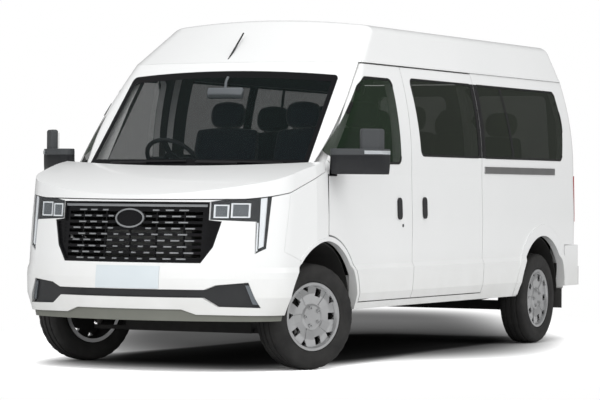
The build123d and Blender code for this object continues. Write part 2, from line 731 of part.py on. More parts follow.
# Bulkhead with the door hinge posts and the strut shelves
with BuildPart() as bulkhead:
    with BuildSketch(Plane.XZ.offset(1955)):
        Polygon(*both_sides([(960, 1262), (960, 852), (530, 852), (530, 520)]), align=None)
    extrude(amount=30)
    add(nose_form(PANEL_T + SEAT_FIT), mode=Mode.INTERSECT)
    for side in (1, -1):
        with Locations((side * 720, -1910, 918)):
            Box(150, 90, 20)
        with Locations((side * STEER_X, FRONT_AXLE_Y, 918)):
            Cylinder(16.3, 40, mode=Mode.SUBTRACT)
        for hinge_z in DOOR_HINGE_Z:
            for leaf_z in (hinge_z - 20.3, hinge_z + 24.3):
                with Locations((side * DOOR_HINGE_X, DOOR_HINGE_Y - 5, leaf_z + 10)):
                    Box(24, 30, 20)
            with Locations((side * DOOR_HINGE_X, DOOR_HINGE_Y, hinge_z + 12)):
                Cylinder(PIN_R, 64)
        for lug_x in (BONNET_HINGE_X - 17, BONNET_HINGE_X + 17):
            with BuildSketch(Plane.YZ.offset(side * lug_x - 8)):
                Polygon((-1985, 1255), (-1985, 1300), (-1967, 1326), (-1940, 1326), (-1940, 1299), (-1955, 1292),
                        (-1955, 1255), align=None)
            extrude(amount=16)
        with Locations(Location((side * BONNET_HINGE_X, BONNET_HINGE_Y, BONNET_HINGE_Z), (0, 90, 0))):
            Cylinder(PIN_R, 50)
bulkhead.part.label = "bulkhead"

# Rear doors
with BuildPart() as rear_door_left:
    add(wall)
    with Locations((REAR_HINGE_X / 2 - 1, 2690, 1304)):
        Box(REAR_HINGE_X - 10, 260, 1436, mode=Mode.INTERSECT)
    with BuildSketch(Plane.XZ) as rear_window:
        Polygon(*REAR_WINDOW, align=None)
        fillet(rear_window.vertices(), WINDOW_R)
    extrude(amount=-3000, mode=Mode.SUBTRACT)
    for hinge_z in REAR_HINGE_Z:
        with BuildSketch(Plane.XY.offset(hinge_z)):
            Polygon((800, 2640), (800, 2718), (812, 2740), (850, 2740), (850, 2716), (838, 2712), (838, 2640),
                    align=None)
            with Locations((REAR_HINGE_X, REAR_HINGE_Y)):
                Circle(PIN_R + 7)
                Circle(PIN_R + SEAT_FIT, mode=Mode.SUBTRACT)
        extrude(amount=25)
rear_door_left.part.label = "rear_door_left"

with BuildPart() as rear_door_right:
    mirror(rear_door_left.part, about=Plane.YZ)
rear_door_right.part.label = "rear_door_right"

with BuildPart() as rear_door_glass_left:
    add(cabin_skin)
    with BuildSketch(Plane.XZ) as rear_pane:
        Polygon(*REAR_WINDOW, align=None)
        fillet(rear_pane.vertices(), WINDOW_R)
        offset(amount=-SEAT_FIT, mode=Mode.REPLACE)
    extrude(amount=-3000, mode=Mode.INTERSECT)
rear_door_glass_left.part.label = "rear_door_glass_left"

with BuildPart() as rear_door_glass_right:
    mirror(rear_door_glass_left.part, about=Plane.YZ)
rear_door_glass_right.part.label = "rear_door_glass_right"

# Right-hand copies of what the left front door carries
with BuildPart() as front_door_right:
    mirror(front_door_left.part, about=Plane.YZ)
front_door_right.part.label = "front_door_right"

with BuildPart() as front_door_glass_right:
    mirror(front_door_glass_left.part, about=Plane.YZ)
front_door_glass_right.part.label = "front_door_glass_right"

with BuildPart() as mirror_right:
    mirror(mirror_left.part, about=Plane.YZ)
mirror_right.part.label = "mirror_right"

with BuildPart() as door_handle_right:
    mirror(door_handle_left.part, about=Plane.YZ)
door_handle_right.part.label = "door_handle_right"

# Rear bumper, lamps and mudflaps
with BuildPart() as rear_bumper:
    with BuildSketch(Plane.XY.offset(430)) as bumper_plan:
        with Locations((0, 2627.6)):
            Rectangle(1980, 444.8)
        fillet(bumper_plan.vertices().group_by(Axis.Y)[-1], 170)
    extrude(amount=316)
    with Locations((0, 2580, 435)):
        Box(1870, 400, 200, mode=Mode.SUBTRACT)
    with Locations((0, 2500, 640)):
        Box(1730, 311, 300, mode=Mode.SUBTRACT)
    with Locations((0, 2700, 770)):
        Box(1730, 500, 400, mode=Mode.SUBTRACT)
    with Locations((0, 2795, 690)):
        Box(2000, 210, 230, mode=Mode.SUBTRACT)
rear_bumper.part.label = "rear_bumper"

corner_skin = body_form(-8) - body_form(0)
with BuildPart() as tail_lamps:
    for side in (1, -1):
        add(corner_skin & polygon_prism([(side * x, z) for x, z in TAIL_LAMP], -3000, Plane.XZ, both=False))
tail_lamps.part.label = "tail_lamps"

with BuildPart() as mudflaps:
    for side in (1, -1):
        with Locations((side * 850, FLAP_Y + 0.8 + FLAP_T / 2, 430)):
            Box(230, FLAP_T, 350)
mudflaps.part.label = "mudflaps"

with BuildPart() as antenna:
    with BuildSketch(Plane.YZ.offset(-66)):
        Polygon((-1345, 2036), (-1095, 2250), (-1090, 2245), (-1320, 2040), align=None)
    extrude(amount=8)
    add(roof_form(0), mode=Mode.SUBTRACT)
antenna.part.label = "antenna"

# Floor, rails, wheel housings
with BuildPart() as floor:
    with BuildSketch(Plane.XY.offset(FLOOR_Z - FLOOR_T)):
        Polygon(*both_sides([(529.7, -1954.7), (529.7, -1430), (875, -1430), (875, 1430), (689.7, 1430), (689.7, 2410),
                             (850, 2410), (850, 2640)]), align=None)
    extrude(amount=FLOOR_T)
    with Locations((0, 2615, 500)):
        Box(1700, 50, 140)
    with Locations((RAIL_X, 2615, 475), (-RAIL_X, 2615, 475)):
        Box(70 + 2 * SEAT_FIT, 60, 90 + 2 * SEAT_FIT, mode=Mode.SUBTRACT)
floor.part.label = "floor"

with BuildPart() as chassis_rails:
    for side in (1, -1):
        with Locations((side * RAIL_X, -45, 470)):
            Box(70, 5270, 100)
        with Locations((side * RAIL_X, 2684.7, 480)):
            Box(70, 190, 80)
        with Locations(*[(side * RAIL_X, y, 460) for y in TOW_BOLT_Y]):
            Cylinder(TOW_BOLT_R, 40, mode=Mode.SUBTRACT)
chassis_rails.part.label = "chassis_rails"

with BuildPart() as wheel_housings:
    for axle_y, radius, inner_x in ((FRONT_AXLE_Y, ARCH_R, 530), (REAR_AXLE_Y, REAR_ARCH_R, 690)):
        for side in (1, -1):
            with BuildSketch(Plane.YZ.offset(side * inner_x)):
                with Locations((axle_y, ARCH_Z)):
                    Circle(radius - 2)
                with Locations((axle_y, -110)):
                    Rectangle(1200, 1000, mode=Mode.SUBTRACT)
            extrude(amount=side * (925 - inner_x))
            with BuildSketch(Plane.YZ.offset(side * (inner_x + 10))):
                with Locations((axle_y, ARCH_Z)):
                    Circle(radius - 14)
            extrude(amount=side * 500, mode=Mode.SUBTRACT)
            if axle_y == FRONT_AXLE_Y:
                with Locations((side * STEER_X, axle_y, 820)):
                    Cylinder(45, 120, mode=Mode.SUBTRACT)
wheel_housings.part.label = "wheel_housings"

# Engine, subframe, rear axle, springs, tank, exhaust, spare wheel
with BuildPart() as engine:
    with Locations((0, -2330, 640)):
        Box(640, 420, 520)
    with Locations((0, -2330, 545)):
        Box(930, 160, 50)
engine.part.label = "engine"

with BuildPart() as front_subframe:
    with Locations((0, FRONT_AXLE_Y, 261)):
        Box(940, 140, 78)
    for side in (1, -1):
        with Locations((side * 435, FRONT_AXLE_Y, 360)):
            Box(70, 140, 120)
        with Locations((side * 590, FRONT_AXLE_Y, 235)):
            Box(260, 60, 26)
        with Locations((side * STEER_X, FRONT_AXLE_Y, 235)):
            Cylinder(30, 26)
            Cylinder(12.3, 40, mode=Mode.SUBTRACT)
front_subframe.part.label = "front_subframe"

with BuildPart() as rear_axle:
    with Locations((0, REAR_AXLE_Y, 285)):
        Box(1360, 70, 70)
    for side in (1, -1):
        with Locations((side * 660, REAR_AXLE_Y, 325)):
            Box(40, 110, 150)
        with Locations(Location((side * 777, REAR_AXLE_Y, AXLE_Z), (0, 90, 0))):
            Cylinder(30, 254)
rear_axle.part.label = "rear_axle"

with BuildPart() as leaf_springs:
    for side in (1, -1):
        with BuildSketch(Plane.YZ.offset(side * 435 - 32)):
            with BuildLine():
                ThreePointArc((1280, 394), (REAR_AXLE_Y, 320), (2580, 394))
                ThreePointArc((1280, 420), (REAR_AXLE_Y, 350), (2580, 420))
                Line((1280, 394), (1280, 420))
                Line((2580, 394), (2580, 420))
            make_face()
        extrude(amount=64)
leaf_springs.part.label = "leaf_springs"

with BuildPart() as fuel_tank:
    with Locations((0, -250, 425)):
        Box(800, 900, 190)
    fillet(fuel_tank.edges().filter_by(Axis.Y), 30)
fuel_tank.part.label = "fuel_tank"

with BuildPart() as exhaust:
    with Locations(Location((555, 500, 432), (90, 0, 0))):
        Cylinder(26, 3700)
    with Locations(Location((555, 650, 432), (90, 0, 0))):
        Cylinder(85, 560)
exhaust.part.label = "exhaust"

with BuildPart() as spare_wheel:
    with Locations((0, 1300, 415)):
        Cylinder(335, 190)
        Cylinder(110, 210)
    fillet(spare_wheel.edges().filter_by(GeomType.CIRCLE).filter_by(lambda e: e.radius > 300), 45)
spare_wheel.part.label = "spare_wheel"

# Cabin: dashboard, steering wheel, seats
with BuildPart() as dashboard:
    with BuildSketch(Plane.YZ.offset(-DASH_HALF)) as dash_side:
        Polygon((-1954.7, 960), (-1954.7, 1250), (-1900, 1285), (-1640, 1300), (-1530, 1255), (-1540, 1080), (-1640, 960),
                align=None)
        fillet(dash_side.vertices().group_by(Axis.Y)[-1], 20)
    extrude(amount=2 * DASH_HALF)
    add(body_form(WALL_T + SHUT + 54), mode=Mode.INTERSECT)
dashboard.part.label = "dashboard"

steering_plane = Plane((-430, -1430, 1370), x_dir=(1, 0, 0), z_dir=(0, 0.70, 0.71))
with BuildPart() as steering_wheel:
    with BuildSketch(Plane(steering_plane.origin, x_dir=(1, 0, 0), z_dir=(0, -0.71, 0.70))):
        with Locations((185, 0)):
            Circle(15)
    revolve(axis=Axis(steering_plane.origin, steering_plane.z_dir))
    with BuildSketch(steering_plane):
        Circle(62)
        Rectangle(352, 34)
        with Locations((0, -90)):
            Rectangle(34, 180)
    extrude(amount=8, both=True)
    with BuildSketch(steering_plane):
        Circle(26)
    extrude(amount=-190)
    add(dashboard.part, mode=Mode.SUBTRACT)
steering_wheel.part.label = "steering_wheel"


def seat(x, y, width, heads):
    """Seat on a box base: cushion, raked back and head rests."""
    with BuildPart() as chair:
        with BuildSketch(Plane.YZ.offset(x - width / 2)) as side_view:
            Polygon((y - 480, 900), (y - 500, 1000), (y - 40, 985), (y + 70, 1600), (y + 160, 1600), (y + 60, 900),
                    align=None)
            fillet(side_view.vertices(), 32)
        extrude(amount=width)
        for head_x in heads:
            with BuildSketch(Plane.YZ.offset(x + head_x - 130)) as head_view:
                Polygon((y + 60, 1590), (y + 75, 1790), (y + 165, 1790), (y + 155, 1590), align=None)
                fillet(head_view.vertices(), 25)
            extrude(amount=260)
        with Locations((x, y - 220, (FLOOR_Z + 910) / 2)):
            Box(width - 120, 420, 910 - FLOOR_Z)
    return chair.part


with BuildPart() as front_seats:
    add(seat(-440, -700, 520, [0]))
    add(seat(380, -700, 900, [-225, 225]))
front_seats.part.label = "front_seats"

ROW_Y = [330, 1180, 2300]
with BuildPart() as rear_seats:
    for row_y in ROW_Y[:2]:
        add(seat(-380, row_y, 860, [-215, 215]))
        add(seat(510, row_y, 440, [0]))
    add(seat(0, ROW_Y[2], 1320, [-440, 0, 440]))
rear_seats.part.label = "rear_seats"


# Wheels, built around the X axis with the outer face at +X
def cover_pads():
    """Raised swept steps between the slots of the wheel cover."""
    with BuildPart() as pads:
        with BuildSketch(Plane.XY):
            Polygon((60, 86), (60, 206), (73, 206), (81, 150), (77, 92), (74, 86), align=None)
        revolve(axis=Axis.X)
        with BuildSketch(Plane.YZ.offset(40)):
            with PolarLocations(150, COVER_SLOTS, start_angle=180 / COVER_SLOTS):
                Polygon((-64, -18), (-64, 30), (60, 60), (60, -8), align=None)
        extrude(amount=60, mode=Mode.INTERSECT)
    return pads.part


def wheel():
    """Steel rim with a pressed cover."""
    with BuildPart() as rim:
        with BuildSketch(Plane.XY):
            Polygon((-88, 196), (-88, 222), (-80, 222), (-70, 206), (70, 206), (80, 222), (88, 222), (88, 205), (76, 196),
                    align=None)
        revolve(axis=Axis.X)
        with BuildSketch(Plane.XY):
            Polygon((44, 0), (44, 199), (64, 203), (70, 203), (76, 150), (72, 84), (78, 70), (78, 0), align=None)
        revolve(axis=Axis.X)
        with Locations(Location((0, 0, 0), (0, 90, 0))):
            Cylinder(72, 96)
        with Locations(Location((-20, 0, 0), (0, 90, 0))):
            Cylinder(30 + SEAT_FIT, 140, mode=Mode.SUBTRACT)
        add(cover_pads())
        with BuildSketch(Plane.YZ.offset(30)):
            with PolarLocations(162, COVER_SLOTS):
                Rectangle(54, 44)
            with PolarLocations(184, COVER_SLOTS, start_angle=180 / COVER_SLOTS):
                Polygon((-24, -16), (16, -30), (16, 22), align=None)
        extrude(amount=80, mode=Mode.SUBTRACT)
        with BuildSketch(Plane.YZ.offset(60)):
            with PolarLocations(LUG_R, COVER_SLOTS, start_angle=180 / COVER_SLOTS):
                Circle(13)
        extrude(amount=28)
        with BuildSketch(Plane.YZ.offset(80)):
            with PolarLocations(LUG_R, COVER_SLOTS, start_angle=180 / COVER_SLOTS):
                Circle(7)
        extrude(amount=8, mode=Mode.SUBTRACT)
    return rim.part


def tyre():
    """Tyre with rounded shoulders."""
    with BuildPart() as ring:
        with BuildSketch(Plane.XY) as half:
            Polygon((-69, 206.4), (-79.4, 222.8), (-93, 226), (-104, 272), (-98, 318), (-76, 341), (0, 345), (76, 341),
                    (98, 318), (104, 272), (93, 226), (79.4, 222.8), (69, 206.4), align=None)
        revolve(axis=Axis.X)
    return ring.part


def knuckle():
    """Strut, king post and stub axle, about the steering axis at the origin."""
    stub = FRONT_WHEEL_X - STEER_X
    with BuildPart() as post:
        with Locations((0, 0, 10)):
            Cylinder(26, 190)
        with Locations((0, 0, -103)):
            Cylinder(12, 40)
        with Locations(Location((stub / 2 + 20, 0, 0), (0, 90, 0))):
            Cylinder(30, stub + 60)
        with Locations((0, 0, 230)):
            Cylinder(28, 260)
        with Locations((0, 0, 460)):
            Cylinder(16, 230)
        with Locations((-40, 70, -10)):
            Box(30, 150, 24)
        with Locations((-20, 0, -10)):
            Box(60, 30, 24)
    return post.part


one_wheel = wheel()
one_tyre = tyre()
one_knuckle = knuckle()
turn_left = Location((STEER_X, FRONT_AXLE_Y, AXLE_Z), (0, 0, REST_STEER))
turn_right = Location((-STEER_X, FRONT_AXLE_Y, AXLE_Z), (0, 0, REST_STEER))
out = Location((FRONT_WHEEL_X - STEER_X, 0, 0))
flip = Location((0, 0, 0), (0, 0, 180))
PLACES = {
    "front_left": turn_left * out,
    "front_right": turn_right * flip * out,
    "rear_left": Location((REAR_WHEEL_X, REAR_AXLE_Y, AXLE_Z)),
    "rear_right": Location((-REAR_WHEEL_X, REAR_AXLE_Y, AXLE_Z)) * flip,
}

with BuildPart() as knuckle_left:
    add(turn_left * one_knuckle)
knuckle_left.part.label = "knuckle_left"

with BuildPart() as knuckle_right:
    add(turn_right * mirror(one_knuckle, about=Plane.YZ, mode=Mode.PRIVATE))
knuckle_right.part.label = "knuckle_right"

pieces = [
    floor, chassis_rails, bulkhead, wheel_housings, body_side_left, body_side_right, roof, windscreen_frame,
    windscreen, side_glass, front_wings, front_bumper, bumper_grille, grille, headlamps,
    headlamp_lenses, cowl, sliding_door, sliding_door_handle, slide_rail, rear_bumper,
    tail_lamps, mudflaps, antenna, engine, front_subframe, rear_axle, leaf_springs, fuel_tank, exhaust,
    spare_wheel, dashboard, steering_wheel, front_seats, rear_seats, bonnet, front_door_left,
    front_door_glass_left, mirror_left, door_handle_left, front_door_right, front_door_glass_right, mirror_right,
    door_handle_right, rear_door_left, rear_door_glass_left, rear_door_right, rear_door_glass_right,
    knuckle_left, knuckle_right,
]
for piece in pieces:
    export_step(piece.part, f"parts/{piece.part.label}.step")
for corner, place in PLACES.items():
    with BuildPart() as placed_wheel:
        add(place * one_wheel)
    with BuildPart() as placed_tyre:
        add(place * one_tyre)
    placed_wheel.part.label = f"wheel_{corner}"
    placed_tyre.part.label = f"tyre_{corner}"
    export_step(placed_wheel.part, f"parts/wheel_{corner}.step")
    export_step(placed_tyre.part, f"parts/tyre_{corner}.step")
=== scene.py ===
"""Looks of a white passenger van: paint, glass, lamps, wheels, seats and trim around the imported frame."""
import math

import bmesh
import bpy
from mathutils import Matrix, Vector
from mathutils.bvhtree import BVHTree


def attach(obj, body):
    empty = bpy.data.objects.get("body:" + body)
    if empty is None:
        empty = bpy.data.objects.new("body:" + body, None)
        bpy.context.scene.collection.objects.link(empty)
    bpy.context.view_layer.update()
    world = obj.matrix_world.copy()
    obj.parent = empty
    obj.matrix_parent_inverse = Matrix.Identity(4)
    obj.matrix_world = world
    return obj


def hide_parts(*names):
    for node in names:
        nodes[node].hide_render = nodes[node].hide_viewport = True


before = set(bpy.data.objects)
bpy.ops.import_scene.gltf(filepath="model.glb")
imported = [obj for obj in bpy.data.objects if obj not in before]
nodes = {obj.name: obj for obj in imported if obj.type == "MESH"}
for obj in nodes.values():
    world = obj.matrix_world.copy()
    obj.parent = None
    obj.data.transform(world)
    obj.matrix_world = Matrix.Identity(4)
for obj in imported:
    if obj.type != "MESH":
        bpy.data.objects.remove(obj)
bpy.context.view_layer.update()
SIDES = (("left", 1), ("right", -1))

# Sizes repeated from the solids, in metres: grille, lamps, valance, windows, wheels
GRILLE_Y, GRILLE_Z, GRILLE_LEAN, NOSE_BOW = -2.806, 0.890, math.radians(7.58), 1.6
DASH_HALF, DASH_LOW, DASH_HIGH = 0.487, 0.716, 1.040
BAR_HALF, BAR_LOW, BAR_HIGH = 0.518, 1.052, 1.0695
DASH_FRONT, DASH_BACK = 0.007, 0.0155
LAMP_BOXES = [(0.598, 1.026, 0.088, 0.084), (0.709, 1.032, 0.108, 0.092)]
LAMP_BOX_RIM = 0.008
LIGHT_STRIP = [(0.818, 1.108), (0.848, 1.114), (0.845, 0.806), (0.822, 0.792)]
INNER_STRIP = [(0.806, 0.955), (0.812, 0.955), (0.815, 0.778), (0.809, 0.774)]
FOG_LAMP = [(0.796, 0.440), (0.830, 0.436), (0.785, 0.560), (0.760, 0.560)]
BUMPER_FOOT, VALANCE_TOP, VALANCE_HALF, VALANCE_SPREAD = 0.372, 0.403, 0.38, 2.8
DOOR_WINDOW = [(-1.862, 1.345), (-1.310, 1.868), (-1.190, 1.935), (-0.745, 1.935), (-0.725, 1.345)]
SLIDE_WINDOW = [(-0.385, 1.405), (-0.440, 1.950), (0.690, 1.950), (0.692, 1.405)]
QUARTER_WINDOW = [(0.744, 1.405), (0.746, 1.950), (2.360, 1.950), (2.420, 1.690), (2.360, 1.405)]
RIGHT_WINDOW = [(-0.385, 1.405), (-0.440, 1.950), (2.360, 1.950), (2.420, 1.690), (2.360, 1.405)]
WINDOW_R = 0.055
REST_STEER = math.radians(-24)
AXLE_Z, FRONT_AXLE_Y, REAR_AXLE_Y = 0.345, -1.920, 1.930
STEER_X, FRONT_WHEEL_X, REAR_WHEEL_X = 0.720, 0.867, 0.861
COVER_BACK, COVER_R = 0.055, 0.202

# Heights and edges in the finishes, in metres: road film, painted shade along the sill foot, mirror bowl,
# black border of the windscreen
FILM_FULL, FILM_NONE = 0.30, 0.75
SILL_SHADE_EDGE, BOWL_TOP, EDGE_BLUR = 0.344, 1.395, 0.003
SCREEN_HALF, SCREEN_TAPER, SCREEN_FOOT = 0.866, 0.0588, 1.362
SCREEN_TOP, SCREEN_CROWN, SCREEN_BLUR = 1.922, 0.0536, 0.002
THREADS = 900.0 / 6.28


def add_node(tree, kind, inputs=None, **settings):
    """New shader node with its settings and its inputs, given as values or as sockets to link."""
    made = tree.nodes.new(kind)
    for name, value in settings.items():
        setattr(made, name, value)
    for name, value in (inputs or {}).items():
        if isinstance(value, bpy.types.NodeSocket):
            tree.links.new(value, made.inputs[name])
        else:
            made.inputs[name].default_value = value
    return made


def maths(tree, operation, first, second=0.0):
    return add_node(tree, "ShaderNodeMath", {0: first, 1: second}, operation=operation).outputs["Value"]


def object_place(tree):
    return add_node(tree, "ShaderNodeTexCoord").outputs["Object"]


def object_axes(tree):
    """X, Y and Z of the object's own coordinates."""
    return add_node(tree, "ShaderNodeSeparateXYZ", {"Vector": object_place(tree)}).outputs


def mottle(tree, scale, detail=3.0):
    """Noise value on the object's own coordinates."""
    return add_node(
        tree, "ShaderNodeTexNoise", {"Vector": object_place(tree), "Scale": scale, "Detail": detail}
    ).outputs["Fac"]


def between(tree, factor, low, high, start=0.0, end=1.0):
    """A number that goes from low to high as factor goes from start to end."""
    return add_node(
        tree,
        "ShaderNodeMapRange",
        {"Value": factor, "From Min": start, "From Max": end, "To Min": low, "To Max": high},
    ).outputs["Result"]


def two_tone(tree, factor, first, second):
    """A colour that goes from first to second as factor goes from 0 to 1; each is a colour or a socket."""
    ends = [end if isinstance(end, bpy.types.NodeSocket) else (*end, 1.0) for end in (first, second)]
    return add_node(
        tree, "ShaderNodeMix", {0: factor, 6: ends[0], 7: ends[1]}, data_type="RGBA"
    ).outputs[2]


def blank_finish(name, **sockets):
    """New material with some of its shader's sockets set."""
    finish = bpy.data.materials.new(name)
    finish.use_nodes = True
    tree = finish.node_tree
    shader = tree.nodes["Principled BSDF"]
    for socket, value in sockets.items():
        shader.inputs[socket.replace("_", " ")].default_value = value
    return finish, tree, shader


def coat(tree, shader, colour, patches, rough):
    """Colour, and a gloss that wanders between two values in patches."""
    tree.links.new(colour, shader.inputs["Base Color"])
    tree.links.new(between(tree, mottle(tree, patches), *rough), shader.inputs["Roughness"])


def relief(tree, shader, height, strength, distance, edge=0.0):
    """Bump from a height value; edge gives softened corners of that radius."""
    bump = add_node(tree, "ShaderNodeBump", {"Height": height, "Strength": strength, "Distance": distance})
    if edge:
        soft = add_node(tree, "ShaderNodeBevel", {"Radius": edge}, samples=4)
        tree.links.new(soft.outputs["Normal"], bump.inputs["Normal"])
    tree.links.new(bump.outputs["Normal"], shader.inputs["Normal"])


def moulded(name, first, second, rough, grain=220.0, strength=0.25, edge=0.0, **sockets):
    """Moulded or coated surface: two close tones, uneven gloss, fine grain."""
    finish, tree, shader = blank_finish(name, **sockets)
    coat(tree, shader, two_tone(tree, mottle(tree, 6.0), first, second), 17.0, rough)
    relief(tree, shader, mottle(tree, grain, 2.0), strength, 0.0008, edge)
    return finish


def metal(name, first, second, rough, grain=120.0, strength=0.06):
    """Bare metal: two close tones, uneven gloss, slight waviness."""
    finish, tree, shader = blank_finish(name, Metallic=1.0)
    coat(tree, shader, two_tone(tree, mottle(tree, 5.0), first, second), 11.0, rough)
    relief(tree, shader, mottle(tree, grain, 2.0), strength, 0.0005)
    return finish


def body_paint():
    """White lacquered paint, with road film low down and a dark grey band of painted shade along the foot of
    the sills.
    """
    finish, tree, shader = blank_finish("white_paint", Coat_Weight=0.55, Coat_Roughness=0.06, IOR=1.5)
    height = object_axes(tree)["Z"]
    low_down = between(tree, height, 1.0, 0.0, FILM_FULL, FILM_NONE)
    film = maths(tree, "MULTIPLY", low_down, mottle(tree, 4.0, 5.0))
    clean = two_tone(tree, mottle(tree, 1.3), (0.80, 0.81, 0.81), (0.84, 0.845, 0.845))
    dusty = two_tone(tree, film, clean, (0.62, 0.62, 0.59))
    # Painted shade: dark grey band along the foot of the sills
    sill_foot_shade = between(tree, height, 1.0, 0.0, SILL_SHADE_EDGE - EDGE_BLUR, SILL_SHADE_EDGE + EDGE_BLUR)
    coat(tree, shader, two_tone(tree, sill_foot_shade, dusty, (0.16, 0.16, 0.14)), 9.0, (0.26, 0.36))
    relief(tree, shader, mottle(tree, 160.0, 1.0), 0.02, 0.0006, 0.006)
    return finish


def glazing(name, tint_low, tint_high, alpha, blackout=None):
    """Tinted pane; blackout(tree) gives 1 where a black printed border covers it."""
    finish, tree, shader = blank_finish(name, IOR=1.5, Specular_IOR_Level=0.5, Alpha=alpha)
    colour = two_tone(tree, mottle(tree, 2.0), tint_low, tint_high)
    if blackout:
        border = blackout(tree)
        colour = two_tone(tree, border, colour, (0.006, 0.006, 0.007))
        tree.links.new(between(tree, border, alpha, 1.0), shader.inputs["Alpha"])
    coat(tree, shader, colour, 5.0, (0.02, 0.05))
    return finish


def screen_border(tree):
    """Black border of the windscreen, wider at the top and the foot."""
    axes = object_axes(tree)
    x, z = maths(tree, "ABSOLUTE", axes["X"]), axes["Z"]
    half = maths(tree, "SUBTRACT", SCREEN_HALF, maths(tree, "MULTIPLY", z, SCREEN_TAPER))
    side = maths(tree, "SUBTRACT", x, half)
    crown = maths(tree, "MULTIPLY", maths(tree, "POWER", x, 2.0), SCREEN_CROWN)
    top = maths(tree, "SUBTRACT", maths(tree, "ADD", z, crown), SCREEN_TOP)
    foot = maths(tree, "SUBTRACT", SCREEN_FOOT, z)
    deepest = maths(tree, "MAXIMUM", side, maths(tree, "MAXIMUM", top, foot))
    return between(tree, deepest, 0.0, 1.0, -SCREEN_BLUR, SCREEN_BLUR)


def rubber():
    """Tyre rubber, dusty on the walls."""
    finish, tree, shader = blank_finish("tyre_rubber", Specular_IOR_Level=0.3)
    colour = two_tone(tree, mottle(tree, 9.0, 5.0), (0.012, 0.012, 0.013), (0.045, 0.044, 0.042))
    coat(tree, shader, colour, 30.0, (0.6, 0.85))
    relief(tree, shader, mottle(tree, 300.0, 2.0), 0.3, 0.0008)
    return finish


def cloth_weave(name, first, second):
    """Woven seat cloth on the object's coordinates."""
    finish, tree, shader = blank_finish(name, Specular_IOR_Level=0.2, Sheen_Weight=0.3, Sheen_Roughness=0.5)
    waves = [
        add_node(
            tree,
            "ShaderNodeTexWave",
            {"Vector": object_place(tree), "Scale": THREADS, "Distortion": 1.2, "Detail": 1.0},
            bands_direction=direction,
        ).outputs["Fac"]
        for direction in ("X", "Z")
    ]
    weave = maths(tree, "MULTIPLY", *waves)
    wear = maths(tree, "MULTIPLY", mottle(tree, 12.0), 0.4)
    tone = maths(tree, "ADD", maths(tree, "MULTIPLY", weave, 0.6), wear)
    coat(tree, shader, two_tone(tree, tone, first, second), 20.0, (0.8, 0.95))
    relief(tree, shader, weave, 0.4, 0.0006)
    return finish


def housing_plastic():
    """Mirror housing: dark bowl, lighter arm and head."""
    finish, tree, shader = blank_finish("mirror_plastic")
    band = between(tree, object_axes(tree)["Z"], 0.0, 1.0, BOWL_TOP - EDGE_BLUR, BOWL_TOP + EDGE_BLUR)
    coat(tree, shader, two_tone(tree, band, (0.016, 0.017, 0.019), (0.062, 0.066, 0.070)), 17.0, (0.42, 0.58))
    relief(tree, shader, mottle(tree, 220.0, 2.0), 0.25, 0.0008, 0.008)
    return finish


paint = body_paint()
black_plastic = moulded("black_plastic", (0.016, 0.016, 0.017), (0.024, 0.024, 0.026), (0.38, 0.55))
gloss_black = moulded("gloss_black", (0.006, 0.006, 0.007), (0.010, 0.010, 0.011), (0.08, 0.16), 90.0, 0.03)
grey_plastic = moulded("grey_plastic", (0.040, 0.040, 0.039), (0.062, 0.061, 0.058), (0.5, 0.7), 200.0, 0.3)
intake_grey = moulded("intake_grey", (0.020, 0.021, 0.023), (0.032, 0.033, 0.035), (0.45, 0.6), 180.0, 0.2)
under_coat = moulded("under_coat", (0.014, 0.014, 0.014), (0.032, 0.031, 0.029), (0.6, 0.85), 60.0, 0.5)
cabin_trim = moulded("cabin_trim", (0.055, 0.056, 0.056), (0.085, 0.086, 0.084), (0.6, 0.8), 260.0, 0.2)
headlining = moulded("headlining", (0.30, 0.30, 0.29), (0.38, 0.38, 0.36), (0.8, 0.95), 300.0, 0.3)
dash_skin = moulded("dash_skin", (0.020, 0.022, 0.025), (0.034, 0.036, 0.040), (0.5, 0.7), 240.0, 0.35)
floor_mat = moulded("floor_mat", (0.03, 0.03, 0.03), (0.05, 0.05, 0.05), (0.8, 0.95), 140.0, 0.5)
pillar_trim = moulded("pillar_trim", (0.52, 0.51, 0.48), (0.60, 0.59, 0.56), (0.7, 0.9), 260.0, 0.2)
# Grey of the bumper foot, partly painted shade
valance_grey_and_shade = moulded("valance_grey_and_shade", (0.15, 0.155, 0.135), (0.19, 0.195, 0.17), (0.5, 0.7), 200.0, 0.2)
lamp_bright = moulded("lamp_bright", (0.72, 0.75, 0.78), (0.80, 0.83, 0.85), (0.12, 0.25), 80.0, 0.05)
plate_white = moulded("plate_white", (0.60, 0.66, 0.69), (0.66, 0.71, 0.74), (0.3, 0.45), 300.0, 0.05)
seal_black = moulded("seal_black", (0.008, 0.008, 0.008), (0.014, 0.014, 0.014), (0.5, 0.7), 180.0, 0.15)
mirror_back = moulded("mirror_back", (0.10, 0.11, 0.12), (0.14, 0.15, 0.16), (0.35, 0.5), 200.0, 0.1)
wheel_silver = moulded(
    "wheel_silver", (0.52, 0.525, 0.53), (0.58, 0.585, 0.59), (0.28, 0.38), 200.0, 0.05, 0.003,
    Metallic=0.75, Coat_Weight=0.3,
)
bright_trim = moulded(
    "bright_trim", (0.24, 0.25, 0.26), (0.34, 0.35, 0.36), (0.2, 0.3), 120.0, 0.05, Metallic=0.3
)
lamp_reflector = moulded(
    "lamp_reflector", (0.14, 0.155, 0.17), (0.22, 0.24, 0.26), (0.12, 0.25), 60.0, 0.1, Metallic=0.5
)
red_lens = moulded(
    "red_lens", (0.30, 0.008, 0.008), (0.42, 0.012, 0.012), (0.08, 0.15), 80.0, 0.1, Coat_Weight=0.6
)
bare_steel = metal("bare_steel", (0.06, 0.058, 0.055), (0.12, 0.115, 0.11), (0.4, 0.6), 50.0, 0.3)
cast_metal = metal("cast_metal", (0.22, 0.22, 0.22), (0.32, 0.32, 0.31), (0.45, 0.65), 70.0, 0.4)
rail_metal = metal("rail_metal", (0.42, 0.42, 0.42), (0.52, 0.52, 0.52), (0.35, 0.5))
mirror_glass = metal("mirror_glass", (0.55, 0.57, 0.58), (0.60, 0.62, 0.63), (0.02, 0.05), 40.0, 0.01)
tyre_rubber = rubber()
